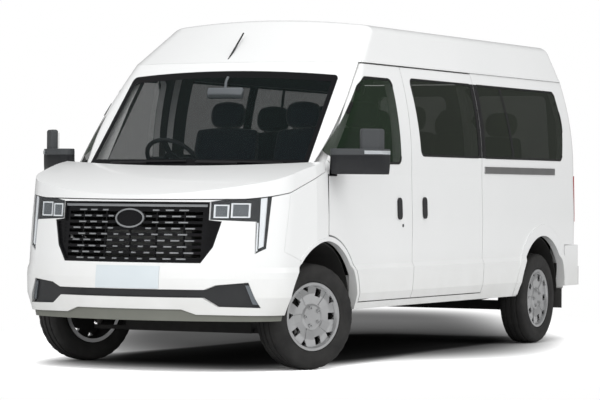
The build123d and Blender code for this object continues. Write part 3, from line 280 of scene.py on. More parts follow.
mirror_plastic = housing_plastic()
navy_cloth = cloth_weave("navy_cloth", (0.006, 0.008, 0.016), (0.020, 0.025, 0.045))
screen_glass = glazing("screen_glass", (0.010, 0.014, 0.016), (0.014, 0.022, 0.020), 0.26, screen_border)
door_glass = glazing("door_glass", (0.010, 0.022, 0.010), (0.018, 0.034, 0.018), 0.54)
dark_glass = glazing("dark_glass", (0.010, 0.014, 0.009), (0.018, 0.024, 0.015), 0.66)
lamp_cover = glazing("lamp_cover", (0.45, 0.48, 0.50), (0.55, 0.58, 0.60), 0.045)

FINISH_OF = {
    paint: (
        "body_side_left body_side_right roof windscreen_frame front_wings front_bumper bonnet sliding_door"
        " front_door_left front_door_right rear_door_left rear_door_right rear_bumper"
    ),
    black_plastic: "cowl door_handle_left door_handle_right sliding_door_handle antenna",
    mirror_plastic: "mirror_left mirror_right",
    grey_plastic: "mudflaps",
    intake_grey: "bumper_grille",
    gloss_black: "grille headlamps",
    lamp_cover: "headlamp_lenses",
    screen_glass: "windscreen",
    door_glass: "front_door_glass_left front_door_glass_right",
    dark_glass: "side_glass rear_door_glass_left rear_door_glass_right",
    red_lens: "tail_lamps",
    rail_metal: "slide_rail",
    dash_skin: "dashboard steering_wheel",
    floor_mat: "floor",
    under_coat: "chassis_rails bulkhead wheel_housings fuel_tank front_subframe rear_axle leaf_springs",
    bare_steel: "knuckle_left knuckle_right exhaust",
    cast_metal: "engine",
    tyre_rubber: "spare_wheel tyre_front_left tyre_front_right tyre_rear_left tyre_rear_right",
    wheel_silver: "wheel_front_left wheel_front_right wheel_rear_left wheel_rear_right",
    navy_cloth: "front_seats rear_seats",
}
NODE_CREASE = math.radians(28)
for finish, names in FINISH_OF.items():
    for name in names.split():
        mesh = nodes[name].data
        mesh.materials.clear()
        mesh.materials.append(finish)
        mesh.shade_smooth()
        mesh.set_sharp_from_angle(angle=NODE_CREASE)


def line_inside(name, finish, picked):
    """Further finish on the faces of a node that a test on place and normal picks."""
    mesh = nodes[name].data
    mesh.materials.append(finish)
    for face in mesh.polygons:
        if picked(face.center, face.normal):
            face.material_index = len(mesh.materials) - 1


def inside(outline, x, z, margin=0.0006):
    """True where a point lies in a convex outline, seen from the front on either side of the van."""
    x = abs(x)
    turns = []
    for (x0, z0), (x1, z1) in zip(outline, outline[1:] + outline[:1]):
        reach = math.hypot(x1 - x0, z1 - z0)
        turns.append(((x1 - x0) * (z - z0) - (z1 - z0) * (x - x0)) / reach)
    return min(turns) > -margin or max(turns) < margin


def pick_faces(name, finish, outlines, holes=()):
    """Further finish on the faces of a node that lie wholly in one of the outlines and not in a hole."""
    mesh = nodes[name].data
    mesh.materials.append(finish)
    for face in mesh.polygons:
        corners = [mesh.vertices[index].co for index in face.vertices]
        for outline in outlines:
            if all(inside(outline, corner.x, corner.z) for corner in corners):
                if not any(inside(hole, face.center.x, face.center.z, -0.0006) for hole in holes):
                    face.material_index = len(mesh.materials) - 1


def rectangle(x, z, width, height):
    """Corners of an upright rectangle, in order."""
    corners = [(-0.5, -0.5), (0.5, -0.5), (0.5, 0.5), (-0.5, 0.5)]
    return [(x + across * width, z + along * height) for across, along in corners]


def on_bright_dash(place, normal):
    """The dashes, top bar and oval ring stand in front of the grille plate."""
    bow = NOSE_BOW - math.sqrt(NOSE_BOW**2 - place.x**2)
    depth = place.y - (GRILLE_Y + (place.z - GRILLE_Z) * math.tan(GRILLE_LEAN) + bow)
    field = abs(place.x) < DASH_HALF and DASH_LOW < place.z < DASH_HIGH
    top_bar = abs(place.x) < BAR_HALF and BAR_LOW < place.z < BAR_HIGH
    return DASH_FRONT < depth < DASH_BACK and (field or top_bar)


def on_valance(place, normal):
    """Grey foot of the front bumper, with a raised middle that spreads downwards: the foot is grey with
    painted shade added, and the grey of the raised middle is painted shade.
    """
    half = VALANCE_HALF + (VALANCE_TOP + 0.001 - place.z) * VALANCE_SPREAD
    raised = place.z < VALANCE_TOP and abs(place.x) < half and normal.y < -0.3
    return place.z < BUMPER_FOOT or raised


for name in ("body_side_left", "body_side_right", "sliding_door", "front_door_left", "front_door_right"):
    line_inside(name, cabin_trim, lambda place, normal: place.x * normal.x < -0.2 and abs(place.x) < 0.99)
for name in ("rear_door_left", "rear_door_right"):
    line_inside(name, cabin_trim, lambda place, normal: normal.y < -0.3)
line_inside("roof", headlining, lambda place, normal: normal.z < -0.3 or place.x * normal.x < -0.2)
line_inside(
    "windscreen_frame", pillar_trim, lambda place, normal: normal.y > 0.2 or place.x * normal.x < -0.2
)
line_inside("grille", bright_trim, on_bright_dash)
box_fronts = [rectangle(*box) for box in LAMP_BOXES]
box_holes = [rectangle(x, z, w - 2 * LAMP_BOX_RIM, h - 2 * LAMP_BOX_RIM) for x, z, w, h in LAMP_BOXES]
pick_faces("headlamps", lamp_reflector, box_holes)
pick_faces("headlamps", lamp_bright, box_fronts + [LIGHT_STRIP, INNER_STRIP], box_holes)
pick_faces("bumper_grille", lamp_reflector, [FOG_LAMP])
# Grey foot and raised middle of the front bumper, partly painted shade
line_inside("front_bumper", valance_grey_and_shade, on_valance)


def piece(name, shape, body, finish, stands_for=(), crease=35):
    """Object from a bmesh, riding on a body."""
    mesh = bpy.data.meshes.new(name)
    shape.to_mesh(mesh)
    shape.free()
    mesh.materials.append(finish)
    mesh.shade_smooth()
    mesh.set_sharp_from_angle(angle=math.radians(crease))
    made = bpy.data.objects.new(name, mesh)
    bpy.context.scene.collection.objects.link(made)
    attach(made, body)
    if stands_for:
        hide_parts(*stands_for)
    return made


def bevel(shape, geom, radius, segments, affect="EDGES"):
    bmesh.ops.bevel(
        shape, geom=geom, offset=radius, segments=segments, profile=0.5, affect=affect, material=-1
    )


def outward(shape):
    bmesh.ops.recalc_face_normals(shape, faces=shape.faces[:])


def largest_face(shape):
    return max(shape.faces, key=lambda face: face.calc_area())


def draw_out(shape, edges):
    """Walls drawn from some edges; gives the new edges and points, still in their old place."""
    made = bmesh.ops.extrude_edge_only(shape, edges=edges)["geom"]
    kinds = (bmesh.types.BMEdge, bmesh.types.BMVert)
    return [[each for each in made if isinstance(each, kind)] for kind in kinds]


def block(size, place, radius, segments=3, turn=None):
    """Box with rounded edges."""
    shape = bmesh.new()
    bmesh.ops.create_cube(shape, size=1.0)
    bmesh.ops.scale(shape, vec=size, verts=shape.verts)
    bevel(shape, shape.edges[:], radius, segments)
    if turn:
        bmesh.ops.transform(shape, matrix=turn, verts=shape.verts)
    bmesh.ops.translate(shape, vec=place, verts=shape.verts)
    return shape


def gather(shapes):
    """One bmesh from several."""
    whole = bmesh.new()
    for shape in shapes:
        mesh = bpy.data.meshes.new("part")
        shape.to_mesh(mesh)
        shape.free()
        whole.from_mesh(mesh)
        bpy.data.meshes.remove(mesh)
    return whole


# Stuffed pads, in shares of their half sizes: crown, drawn-in sides, rim, tucked corners, sewn lines
PAD_CROWN, PAD_PINCH, PAD_RIM, PAD_TUCK = 0.16, 0.05, 0.42, 0.045
SEAM_DEPTH, SEAM_WIDTH = 0.16, 0.045


def pad_shape(size, seams, roundness):
    """Stuffed pad about the origin: thick along Z, crowned, sides drawn in, sewn lines at places along X.

    Roundness goes from 0, a square outline, to 1, an oval one.
    """
    shape = bmesh.new()
    bmesh.ops.create_cube(shape, size=2.0)
    bmesh.ops.subdivide_edges(shape, edges=shape.edges[:], cuts=17, use_grid_fill=True)
    half = Vector(size) / 2
    for vert in shape.verts:
        u, v, w = vert.co
        rim = max(abs(u), abs(v))
        swell = 1.0 - PAD_CROWN - PAD_RIM * rim**8 + PAD_CROWN * (1 - u * u) * (1 - v * v) * 1.8
        x = u * (1 - PAD_PINCH * (1 - v * v) * abs(u)) * (1 - PAD_TUCK * abs(v * w) ** 3)
        y = v * (1 - PAD_PINCH * (1 - u * u) * abs(v)) * (1 - PAD_TUCK * abs(u * w) ** 3)
        x *= 1 - roundness * (1 - math.sqrt(1 - v * v / 2))
        y *= 1 - roundness * (1 - math.sqrt(1 - u * u / 2))
        for seam in seams:
            swell -= SEAM_DEPTH * math.exp(-(((u - seam) / SEAM_WIDTH) ** 2))
        vert.co = (x * half.x, y * half.y, w * swell * half.z)
    return shape


def sew_pad(name, size, matrix, seams, stands_for=(), roundness=0.0):
    """Cloth-covered pad of a seat, in its place."""
    shape = pad_shape(size, seams, roundness)
    bmesh.ops.transform(shape, matrix=matrix, verts=shape.verts)
    made = piece(name, shape, "body", navy_cloth, stands_for, crease=80)
    made.modifiers.new("soft", "SUBSURF").levels = 1
    made.modifiers["soft"].render_levels = 1


# Seats: name, node, place of the hinge line across and along the van, width, places of the head rests
SEATS = [
    ("driver", "front_seats", -0.440, -0.700, 0.520, (0.0,)),
    ("cab_bench", "front_seats", 0.380, -0.700, 0.900, (-0.225, 0.225)),
    ("row_1_pair", "rear_seats", -0.380, 0.330, 0.860, (-0.215, 0.215)),
    ("row_1_single", "rear_seats", 0.510, 0.330, 0.440, (0.0,)),
    ("row_2_pair", "rear_seats", -0.380, 1.180, 0.860, (-0.215, 0.215)),
    ("row_2_single", "rear_seats", 0.510, 1.180, 0.440, (0.0,)),
    ("row_3", "rear_seats", 0.0, 2.300, 1.320, (-0.440, 0.0, 0.440)),
]
SINGLE_SEAMS, BENCH_SEAMS = [-0.62, 0.62], [-0.8, -0.02, 0.02, 0.8]
HEAD_REST, POST, POST_GAP = (0.27, 0.20, 0.11), (0.014, 0.014, 0.12), 0.07
tilt_up = Matrix.Rotation(math.radians(-3), 4, "X")
lean_back = Matrix.Rotation(math.radians(-10), 4, "X") @ Matrix.Rotation(math.radians(90), 4, "X")
replaced = set()
for label, node, x, y, width, heads in SEATS:
    fresh = () if node in replaced else (node,)
    replaced.add(node)
    seams = SINGLE_SEAMS if len(heads) == 1 else BENCH_SEAMS
    cushion = Matrix.Translation((x, y - 0.215, 0.945)) @ tilt_up
    sew_pad(label + "_cushion", (width, 0.50, 0.12), cushion, seams, fresh)
    back = Matrix.Translation((x, y + 0.055, 1.290)) @ lean_back
    sew_pad(label + "_back", (width, 0.66, 0.125), back, seams, roundness=0.30)
    seat_base = [
        block((width - 0.12, 0.42, 0.05), (x, y - 0.22, 0.875), 0.012),
        block((width - 0.10, 0.06, 0.285), (x, y - 0.06, 0.7125), 0.012),
        block((width - 0.10, 0.06, 0.285), (x, y - 0.36, 0.7125), 0.012),
    ]
    for count, head in enumerate(heads):
        top = Matrix.Translation((x + head, y + 0.115, 1.692)) @ lean_back
        sew_pad(f"{label}_head_rest_{count}", HEAD_REST, top, (), roundness=0.75)
        for gap in (-POST_GAP, POST_GAP):
            seat_base.append(block(POST, (x + head + gap, y + 0.105, 1.60), 0.006, 2))
    piece(label + "_seat_base", gather(seat_base), "body", under_coat)

# Trim laid on the skin: how far a ray looks for it, where rays start, how far trim stands out, its thickness
LAY_REACH, SIDE_START, NOSE_START = 1.4, -2.0, -4.0
SEAL_PROUD, PRINT_PROUD, TRIM_THICK = 0.0025, 0.0018, 0.004


def skin_of(*names):
    """Ray-cast tree over some nodes."""
    points, faces = [], []
    for name in names:
        mesh = nodes[name].data
        faces += [[len(points) + index for index in face.vertices] for face in mesh.polygons]
        points += [vert.co.copy() for vert in mesh.vertices]
    return BVHTree.FromPolygons(points, faces)


def lay_on(shape, skin, start, way, proud):
    """Moves every point along a direction until it stands proud of a skin; points beside the skin go."""
    way = Vector(way)
    beside = []
    for vert in shape.verts:
        hit = skin.ray_cast(vert.co - way * (vert.co.dot(way) - start), way, LAY_REACH)[0]
        if hit:
            vert.co = hit - way * proud
        else:
            beside.append(vert)
    bmesh.ops.delete(shape, geom=beside, context="VERTS")


def thicken(shape, thickness):
    """Gives a laid sheet its thickness."""
    outward(shape)
    bmesh.ops.solidify(shape, geom=shape.faces[:], thickness=thickness)
    outward(shape)


def cut_long_edges(shape, length, cuts):
    long_edges = [edge for edge in shape.edges if edge.calc_length() > length]
    bmesh.ops.subdivide_edges(shape, edges=long_edges, cuts=cuts, use_grid_fill=True)


def gasket(name, outline, side, skin, body, width=0.014):
    """Black rubber ring round a window, laid on the side of the body."""
    shape = bmesh.new()
    shape.faces.new([shape.verts.new((0.0, y, z)) for y, z in outline])
    bevel(shape, shape.verts[:], WINDOW_R, 7, "VERTICES")
    bmesh.ops.inset_region(
        shape, faces=[largest_face(shape)], thickness=width, use_even_offset=True, use_boundary=True
    )
    bmesh.ops.delete(shape, geom=[largest_face(shape)], context="FACES")
    cut_long_edges(shape, 0.12, 5)
    lay_on(shape, skin, SIDE_START, (-side, 0, 0), SEAL_PROUD)
    thicken(shape, TRIM_THICK)
    piece(name, shape, body, seal_black, crease=50)


def black_print(name, corners, side, skin):
    """Four-cornered black panel laid on the side of the body."""
    shape = bmesh.new()
    shape.faces.new([shape.verts.new((0.0, y, z)) for y, z in corners])
    cut_long_edges(shape, 0.10, 7)
    lay_on(shape, skin, SIDE_START, (-side, 0, 0), PRINT_PROUD)
    thicken(shape, TRIM_THICK)
    piece(name, shape, "body", gloss_black, crease=50)


left_skin = skin_of("body_side_left", "sliding_door", "side_glass")
right_skin = skin_of("body_side_right", "side_glass")
gasket("slide_window_seal", SLIDE_WINDOW, 1, left_skin, "body")
gasket("quarter_window_seal", QUARTER_WINDOW, 1, left_skin, "body")
gasket("right_window_seal", RIGHT_WINDOW, -1, right_skin, "body")
for label, side in SIDES:
    door = "front_door_" + label
    door_skin = skin_of(door, "front_door_glass_" + label)
    gasket("door_window_seal_" + label, DOOR_WINDOW, side, door_skin, door, 0.016)
SLIDE_PILLAR = [(0.655, 1.407), (0.652, 1.948), (0.7147, 1.948), (0.7147, 1.407)]
QUARTER_PILLAR = [(0.7213, 1.407), (0.7213, 1.948), (0.790, 1.948), (0.790, 1.407)]
FRONT_DIVIDER = [(0.655, 1.412), (0.650, 1.944), (0.780, 1.944), (0.780, 1.412)]
REAR_DIVIDER = [(1.318, 1.412), (1.203, 1.944), (1.243, 1.944), (1.360, 1.412)]
black_print("slide_pillar_black", SLIDE_PILLAR, 1, left_skin)
black_print("quarter_pillar_black", QUARTER_PILLAR, 1, left_skin)
black_print("quarter_divider", REAR_DIVIDER, 1, left_skin)
black_print("right_divider_front", FRONT_DIVIDER, -1, right_skin)
black_print("right_divider_rear", REAR_DIVIDER, -1, right_skin)

# Tyres: grooved tread with blocks cut into the shoulders
TYRE_PROFILE = [
    (-0.069, 0.2066), (-0.080, 0.2230), (-0.092, 0.2290), (-0.099, 0.2480), (-0.1015, 0.2520),
    (-0.103, 0.2720), (-0.1025, 0.2950), (-0.1000, 0.3000), (-0.098, 0.3160), (-0.090, 0.3300),
    (-0.076, 0.3400), (-0.050, 0.3425), (-0.049, 0.3355), (-0.040, 0.3355), (-0.039, 0.3435),
    (-0.010, 0.3450), (-0.009, 0.3365), (0.009, 0.3365),
]
TYRE_PROFILE += [(0.010, 0.3450)] + [(-x, r) for x, r in reversed(TYRE_PROFILE[:15])]
TYRE_STEPS, STEPS_TO_A_CUT = 96, 3
SHOULDER_IN, SHOULDER_OUT, SHOULDER_R, CUT_DEPTH = 0.045, 0.095, 0.327, 0.003


def tyre_shape(place):
    """Tyre spun from its profile, with a cut at every third step of its shoulders."""
    shape = bmesh.new()
    ring = [shape.verts.new((x, 0.0, r)) for x, r in TYRE_PROFILE]
    loop = [shape.edges.new(pair) for pair in zip(ring, ring[1:])]
    bmesh.ops.spin(
        shape, geom=ring + loop, cent=(0, 0, 0), axis=(1, 0, 0), dvec=(0, 0, 0), angle=2 * math.pi,
        steps=TYRE_STEPS, use_merge=True,
    )
    for vert in shape.verts:
        radius = math.hypot(vert.co.y, vert.co.z)
        step = round(math.atan2(vert.co.y, vert.co.z) / (2 * math.pi) * TYRE_STEPS)
        on_shoulder = SHOULDER_IN < abs(vert.co.x) < SHOULDER_OUT and radius > SHOULDER_R
        if on_shoulder and step % STEPS_TO_A_CUT == 0:
            vert.co.yz *= (radius - CUT_DEPTH) / radius
    outward(shape)
    bmesh.ops.transform(shape, matrix=place, verts=shape.verts)
    return shape


def steered(x):
    return Matrix.Translation((x, FRONT_AXLE_Y, AXLE_Z)) @ Matrix.Rotation(REST_STEER, 4, "Z")


flip = Matrix.Rotation(math.pi, 4, "Z")
stub = Matrix.Translation((FRONT_WHEEL_X - STEER_X, 0, 0))
WHEEL_PLACES = {
    "front_left": steered(STEER_X) @ stub,
    "front_right": steered(-STEER_X) @ flip @ stub,
    "rear_left": Matrix.Translation((REAR_WHEEL_X, REAR_AXLE_Y, AXLE_Z)),
    "rear_right": Matrix.Translation((-REAR_WHEEL_X, REAR_AXLE_Y, AXLE_Z)) @ flip,
}


def steel_and_shade_behind_cover(name, place):
    """Dark finish on the faces of a wheel that lie behind its cover: the black steel wheel, with painted
    shade on its inner side.
    """
    mesh = nodes[name].data
    mesh.materials.append(under_coat)
    upright = place.inverted()
    for face in mesh.polygons:
        spot = upright @ face.center
        if spot.x < COVER_BACK and math.hypot(spot.y, spot.z) < COVER_R:
            face.material_index = len(mesh.materials) - 1


for corner, place in WHEEL_PLACES.items():
    wheel = "wheel_" + corner
    # Black steel and painted shade behind the wheel cover
    steel_and_shade_behind_cover(wheel, place)
    piece("tread_" + corner, tyre_shape(place), wheel, tyre_rubber, ["tyre_" + corner], crease=40)

# Mirrors: arm and rounded bowl in one, an upright head, a bright strip, and the glass at the back
MIRROR_PLAN = [
    (0.982, -1.893), (1.050, -1.904), (1.190, -1.838), (1.290, -1.715), (1.302, -1.625), (1.262, -1.587),
    (1.215, -1.612), (1.120, -1.730), (0.982, -1.800),
]
MIRROR_LEVELS = [
    (1.270, 0.58), (1.276, 0.72), (1.292, 0.86), (1.320, 0.95), (1.360, 0.99), (1.390, 0.995),
    (1.393, 0.975), (1.397, 0.975), (1.400, 1.0), (1.420, 0.99), (1.431, 0.95), (1.436, 0.88),
]
ARM_END, SPINE_Y, SPINE_SLOPE = 1.0, -1.862, 0.62
STRIP_LINE = [(1.205, -1.831), (1.246, -1.777), (1.286, -1.722), (1.298, -1.680), (1.303, -1.640)]
STRIP_FOOT, STRIP_TOP = 1.401, 1.424
GLASS_LINE = [(1.206, -1.616), (1.165, -1.668), (1.122, -1.722)]
GLASS_FOOT, GLASS_TOP = 1.325, 1.386
HEAD_PLAN = [(1.140, -1.772), (1.178, -1.806), (1.262, -1.722), (1.264, -1.640), (1.236, -1.618)]
HEAD_GLASS = [(1.226, -1.628), (1.190, -1.685), (1.152, -1.745)]
HEAD_FOOT, HEAD_TOP, HEAD_BORDER = 1.420, 1.568, 0.02
SAIL = [(-1.884, 1.257), (-1.866, 1.402), (-1.771, 1.402), (-1.761, 1.257)]
SAIL_X = {1: 0.9785, -1: -1.0085}


def two_sided(shape):
    """Backs a flat sheet with a copy of itself."""
    bmesh.ops.solidify(shape, geom=shape.faces[:], thickness=0.0)
    outward(shape)


def ribbon(points, low, high):
    """Upright flat strip along a line seen from above."""
    shape = bmesh.new()
    line = [shape.verts.new((x, y, low)) for x, y in reversed(points)]
    upper = draw_out(shape, [shape.edges.new(pair) for pair in zip(line, line[1:])])[1]
    bmesh.ops.translate(shape, vec=(0, 0, high - low), verts=upper)
    two_sided(shape)
    bevel(shape, shape.edges[:], 0.0012, 2)
    return shape


def mirror_shape(side):
    """Arm and bowl: the plan drawn up level by level, and each level drawn in towards the spine."""
    shape = bmesh.new()
    shape.faces.new([shape.verts.new((x, y, 0.0)) for x, y in MIRROR_PLAN])
    bevel(shape, shape.verts[:], 0.022, 5, "VERTICES")
    edges, rings = shape.edges[:], [shape.verts[:]]
    for level in MIRROR_LEVELS[1:]:
        edges, ring = draw_out(shape, edges)
        rings.append(ring)
    for ring, (z, share) in zip(rings, MIRROR_LEVELS):
        for vert in ring:
            point = vert.co.copy()
            along = max(point.x, ARM_END)
            middle = Vector((along, SPINE_Y + SPINE_SLOPE * (along - ARM_END), 0.0))
            spot = middle + (point - middle) * share
            vert.co = (side * (point.x if point.x < ARM_END else spot.x), spot.y, z)
    bmesh.ops.holes_fill(shape, edges=edges)
    outward(shape)
    return shape


def head_shape(side):
    """Upright head on the outer end of the arm."""
    shape = bmesh.new()
    shape.faces.new([shape.verts.new((side * x, y, HEAD_FOOT)) for x, y in HEAD_PLAN])
    bevel(shape, shape.verts[:], 0.014, 4, "VERTICES")
    rim, top = draw_out(shape, shape.edges[:])
    bmesh.ops.translate(shape, vec=(0, 0, HEAD_TOP - HEAD_FOOT), verts=top)
    bmesh.ops.holes_fill(shape, edges=rim)
    bevel(shape, rim, 0.016, 4)
    outward(shape)
    return shape


def sail_shape(side):
    """Flat foot of the mirror in the corner of the door window."""
    shape = bmesh.new()
    shape.faces.new([shape.verts.new((SAIL_X[side], y, z)) for y, z in SAIL])
    two_sided(shape)
    bevel(shape, shape.edges[:], 0.008, 3)
    return shape


for label, side in SIDES:
    door = "front_door_" + label
    housing = gather([mirror_shape(side), head_shape(side), sail_shape(side)])
    solid = ["mirror_" + label]
    piece("mirror_housing_" + label, housing, door, mirror_plastic, solid, crease=30)
    strip = ribbon([(side * (x + 0.001), y - 0.001) for x, y in STRIP_LINE], STRIP_FOOT, STRIP_TOP)
    piece("mirror_strip_" + label, strip, door, lamp_bright)
    lower, upper = [[(side * (x - 0.003), y + 0.003) for x, y in line] for line in (GLASS_LINE, HEAD_GLASS)]
    panes = [
        ribbon(lower, GLASS_FOOT, GLASS_TOP),
        ribbon(upper, HEAD_FOOT + HEAD_BORDER, HEAD_TOP - HEAD_BORDER),
    ]
    piece("mirror_glass_" + label, gather(panes), door, mirror_glass)

# Blank plate on the bumper
PLATE_MIDDLE, PLATE_SIZE = (0.0115, 0, 0.606), (0.457, 0.144, 1, 1)
plate = bmesh.new()
bmesh.ops.create_grid(plate, x_segments=12, y_segments=4, size=0.5)
upright = Matrix.Rotation(math.pi / 2, 4, "X")
plate_place = Matrix.Translation(PLATE_MIDDLE) @ upright @ Matrix.Diagonal(PLATE_SIZE)
bmesh.ops.transform(plate, matrix=plate_place, verts=plate.verts)
lay_on(plate, skin_of("front_bumper", "bumper_grille"), NOSE_START, (0, 1, 0), 0.0055)
thicken(plate, 0.003)
piece("blank_plate", plate, "body", plate_white, crease=50)


def tube(points, radius, sides=8):
    """Round bar along some points."""
    points = [Vector(point) for point in points]
    places = []
    for before, point, after in zip(points[:1] + points, points, points[1:] + points[-1:]):
        turn = (after - before).to_track_quat("Z", "Y").to_matrix().to_4x4()
        places.append(Matrix.Translation(point) @ turn)
    shape = bmesh.new()
    bmesh.ops.create_circle(shape, cap_ends=False, radius=radius, segments=sides, matrix=places[0])
    edges = shape.edges[:]
    for here, there in zip(places, places[1:]):
        edges, ring = draw_out(shape, edges)
        bmesh.ops.transform(shape, matrix=there @ here.inverted(), verts=ring)
    bmesh.ops.holes_fill(shape, edges=shape.edges[:])
    outward(shape)
    return shape


# Wipers parked along the foot of the screen: name, outer and inner end
WIPERS = (("left", 0.66, 0.06), ("right", -0.02, -0.62))
BLADE_Z, ARM_Z, WIPER_DROP = 1.352, 1.345, 0.016
screen_skin = skin_of("windscreen", "windscreen_frame")


def on_screen(x, z, proud):
    """Point in front of the windscreen, on a line that drops towards the sides."""
    z -= WIPER_DROP * abs(x)
    hit = screen_skin.ray_cast(Vector((x, NOSE_START, z)), Vector((0, 1, 0)))[0]
    return (x, hit.y - proud, z)


for label, start, end in WIPERS:
    spots = [start + (end - start) * step / 6 for step in range(7)]
    blade = tube([on_screen(x, BLADE_Z, 0.012) for x in spots], 0.006)
    arm = tube([on_screen(x, ARM_Z, 0.024) for x in spots[3:]], 0.007)
    piece("wiper_" + label, gather([blade, arm]), "body", black_plastic)

# Inside mirror on its stalk
nod = Matrix.Rotation(math.radians(-12), 4, "X")
inside_mirror = block((0.27, 0.034, 0.075), (0.035, -1.545, 1.815), 0.014, 4, nod)
stalk = tube([(0.035, -1.545, 1.845), (0.035, -1.535, 1.895), (0.035, -1.505, 1.925)], 0.009)
piece("inside_mirror", gather([inside_mirror, stalk]), "body", mirror_back)

# Key holes of the front doors
KEY_Y, KEY_Z, KEY_R, KEY_PROUD = -0.715, 0.925, 0.011, 0.004
for label, side in SIDES:
    door = "front_door_" + label
    skin_x = skin_of(door).ray_cast(Vector((side * 3.0, KEY_Y, KEY_Z)), Vector((-side, 0, 0)))[0].x
    steps = (-0.001, KEY_PROUD * 0.7, KEY_PROUD)
    barrel = tube([(skin_x + side * step, KEY_Y, KEY_Z) for step in steps], KEY_R, 16)
    face_x = skin_x + side * KEY_PROUD
    rim = [edge for edge in barrel.edges if all(abs(vert.co.x - face_x) < 1e-5 for vert in edge.verts)]
    bevel(barrel, rim, KEY_PROUD * 0.3, 2)
    piece("key_hole_" + label, barrel, door, intake_grey)

# Floor: its brightness to light and to the camera, two patches of painted shadow, and where it runs out to
# white
FLOOR_BOUNCE, FLOOR_GAIN = 0.66, 2.6
# Painted shadow under the van, for every ray
UNDER_SHADOW_BOX, UNDER_PAINTED_SHADE, UNDER_START = ((-0.16, 0.98), (0.40, 2.60)), 0.012, 0.35
# Painted cast shadow behind the van, turned away from the key light, seen by the camera only
CAST_SHADOW_BOX, CAST_PAINTED_SHADE, CAST_START = ((-0.05, 1.85), (3.3, 4.2)), 0.05, 0.10
SHADE_END, KEY_TURN = 2.4, math.radians(26)
WHITE_SHARES, WHITE_START, WHITE_END = (0.50, 0.34, 0.0), 1.15, 1.75
ground = bmesh.new()
bmesh.ops.create_grid(ground, x_segments=1, y_segments=1, size=60.0)
bmesh.ops.translate(ground, vec=(0, 0, -0.001), verts=ground.verts)
floor_mesh = bpy.data.meshes.new("studio_floor")
ground.to_mesh(floor_mesh)
ground.free()


def painted_floor_shadow(tree, place, box, darkest, start):
    """Painted shadow: a number that goes from darkest inside a round-cornered patch of the floor to 1 outside
    it.
    """
    reach = []
    for axis, (middle, half) in zip("XY", box):
        away = maths(tree, "ABSOLUTE", maths(tree, "SUBTRACT", place[axis], middle))
        reach.append(maths(tree, "POWER", maths(tree, "DIVIDE", away, half), 4.0))
    edge = {"From Min": start, "From Max": SHADE_END, "To Min": darkest, "To Max": 1.0}
    return add_node(
        tree,
        "ShaderNodeMapRange",
        {"Value": maths(tree, "ADD", *reach), **edge},
        interpolation_type="SMOOTHSTEP",
    ).outputs["Result"]


def studio_white():
    """Pale floor that shows the shadow near the van, deepened by a painted shadow under it and a painted cast
    shadow behind it, and runs out to plain white around it.
    """
    finish, tree, shader = blank_finish("floor_white")
    tree.nodes.remove(shader)
    seen = add_node(tree, "ShaderNodeLightPath").outputs["Is Camera Ray"]
    tone = between(tree, mottle(tree, 0.8), 0.86, 0.90)
    # Painted shadow under the van
    under = painted_floor_shadow(tree, object_axes(tree), UNDER_SHADOW_BOX, UNDER_PAINTED_SHADE, UNDER_START)
    turned = add_node(
        tree,
        "ShaderNodeVectorRotate",
        {"Vector": object_place(tree), "Angle": -KEY_TURN},
        rotation_type="Z_AXIS",
    ).outputs["Vector"]
    turned_axes = add_node(tree, "ShaderNodeSeparateXYZ", {"Vector": turned}).outputs
    # Painted cast shadow behind the van
    cast = painted_floor_shadow(tree, turned_axes, CAST_SHADOW_BOX, CAST_PAINTED_SHADE, CAST_START)
    # Both painted shadows for the camera; only the one under the van for light bounced off the floor
    shade = between(tree, seen, under, maths(tree, "MINIMUM", under, cast))
    brightness = between(tree, seen, FLOOR_BOUNCE, FLOOR_GAIN)
    gain = maths(tree, "MULTIPLY", maths(tree, "MULTIPLY", tone, shade), brightness)
    pale = add_node(tree, "ShaderNodeCombineColor", {"Red": gain, "Green": gain, "Blue": gain})
    lit = add_node(tree, "ShaderNodeBsdfDiffuse", {"Color": pale.outputs["Color"]}).outputs["BSDF"]
    glow = add_node(tree, "ShaderNodeEmission", {"Color": (1, 1, 1, 1), "Strength": 1.0}).outputs["Emission"]
    away = add_node(tree, "ShaderNodeMapping", {"Vector": object_place(tree), "Scale": WHITE_SHARES})
    distance = add_node(tree, "ShaderNodeVectorMath", {0: away.outputs["Vector"]}, operation="LENGTH")
    far = between(tree, distance.outputs["Value"], 0.0, 1.0, WHITE_START, WHITE_END)
    fade = maths(tree, "MULTIPLY", far, maths(tree, "MULTIPLY", seen, shade))
    mix = add_node(tree, "ShaderNodeMixShader", {0: fade, 1: lit, 2: glow}).outputs["Shader"]
    tree.links.new(mix, tree.nodes["Material Output"].inputs["Surface"])
    return finish


floor_mesh.materials.append(studio_white())
studio_floor = bpy.data.objects.new("studio_floor", floor_mesh)
bpy.context.scene.collection.objects.link(studio_floor)

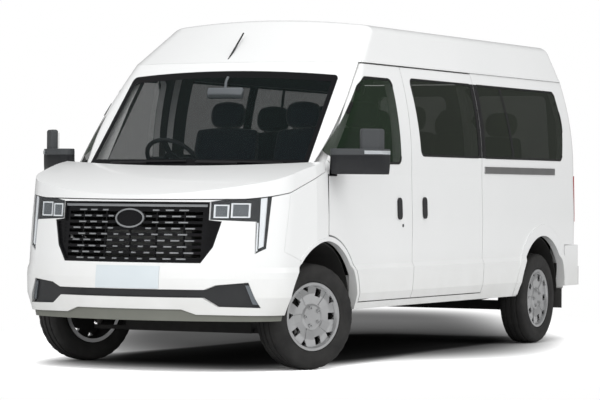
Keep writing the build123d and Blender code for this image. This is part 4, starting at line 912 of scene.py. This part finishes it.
# World: white to the camera and through glass, dimmer as light and dimmer still in reflections
SKY_LIGHT, SKY_MIRRORED = 0.66, 0.16
world = bpy.data.worlds.new("studio")
bpy.context.scene.world = world
world.use_nodes = True
sky = world.node_tree
rays = add_node(sky, "ShaderNodeLightPath").outputs
direct = maths(sky, "MAXIMUM", rays["Is Camera Ray"], rays["Is Transmission Ray"])
mirrored = between(sky, rays["Is Glossy Ray"], SKY_LIGHT, SKY_MIRRORED)
sky.nodes["Background"].inputs["Color"].default_value = (1, 1, 1, 1)
strength = add_node(sky, "ShaderNodeMix", {0: direct, 2: mirrored, 3: 1.0}, data_type="FLOAT").outputs[0]
sky.links.new(strength, sky.nodes["Background"].inputs["Strength"])


def softbox(name, place, aim, size, power):
    lamp = bpy.data.lights.new(name, "AREA")
    lamp.shape = "RECTANGLE"
    lamp.size, lamp.size_y = size
    lamp.energy = power
    holder = bpy.data.objects.new(name, lamp)
    holder.location = place
    holder.rotation_mode = "QUATERNION"
    holder.rotation_quaternion = (Vector(aim) - Vector(place)).to_track_quat("-Z", "Y")
    holder.visible_glossy = False
    bpy.context.scene.collection.objects.link(holder)


softbox("front_softbox", (2.0, -13.0, 4.0), (0, -1.0, 1.2), (10, 6), 640)
softbox("top_softbox", (1.5, -3.5, 10.0), (0, -0.5, 0), (9, 10), 430)
softbox("side_softbox", (12.0, 2.0, 6.5), (0, 0.5, 1.4), (9, 6), 640)

# The camera was fitted to the photograph: place, turn about Z, tilt and roll
LENS_PIXELS, FRAME_PIXELS, SENSOR = 2847.3, 600.0, 36.0
turn, tilt, roll = math.radians(26.09), math.radians(-0.193), math.radians(0.412)
ahead = Vector((-math.sin(turn) * math.cos(tilt), math.cos(turn) * math.cos(tilt), math.sin(tilt)))
right = Vector((math.cos(turn), math.sin(turn), 0.0))
up = right.cross(ahead)
right, up = right * math.cos(roll) + up * math.sin(roll), up * math.cos(roll) - right * math.sin(roll)
eye = bpy.data.cameras.new("photo_camera")
eye.sensor_width = SENSOR
eye.lens = LENS_PIXELS * SENSOR / FRAME_PIXELS
eye.clip_end = 200.0
camera = bpy.data.objects.new("photo_camera", eye)
camera.rotation_mode = "QUATERNION"
camera.rotation_quaternion = Matrix((right, up, -ahead)).transposed().to_quaternion()
camera.location = (8.955, -18.602, 1.162)
bpy.context.scene.collection.objects.link(camera)
bpy.context.scene.camera = camera
bpy.context.scene.view_settings.view_transform = "Standard"
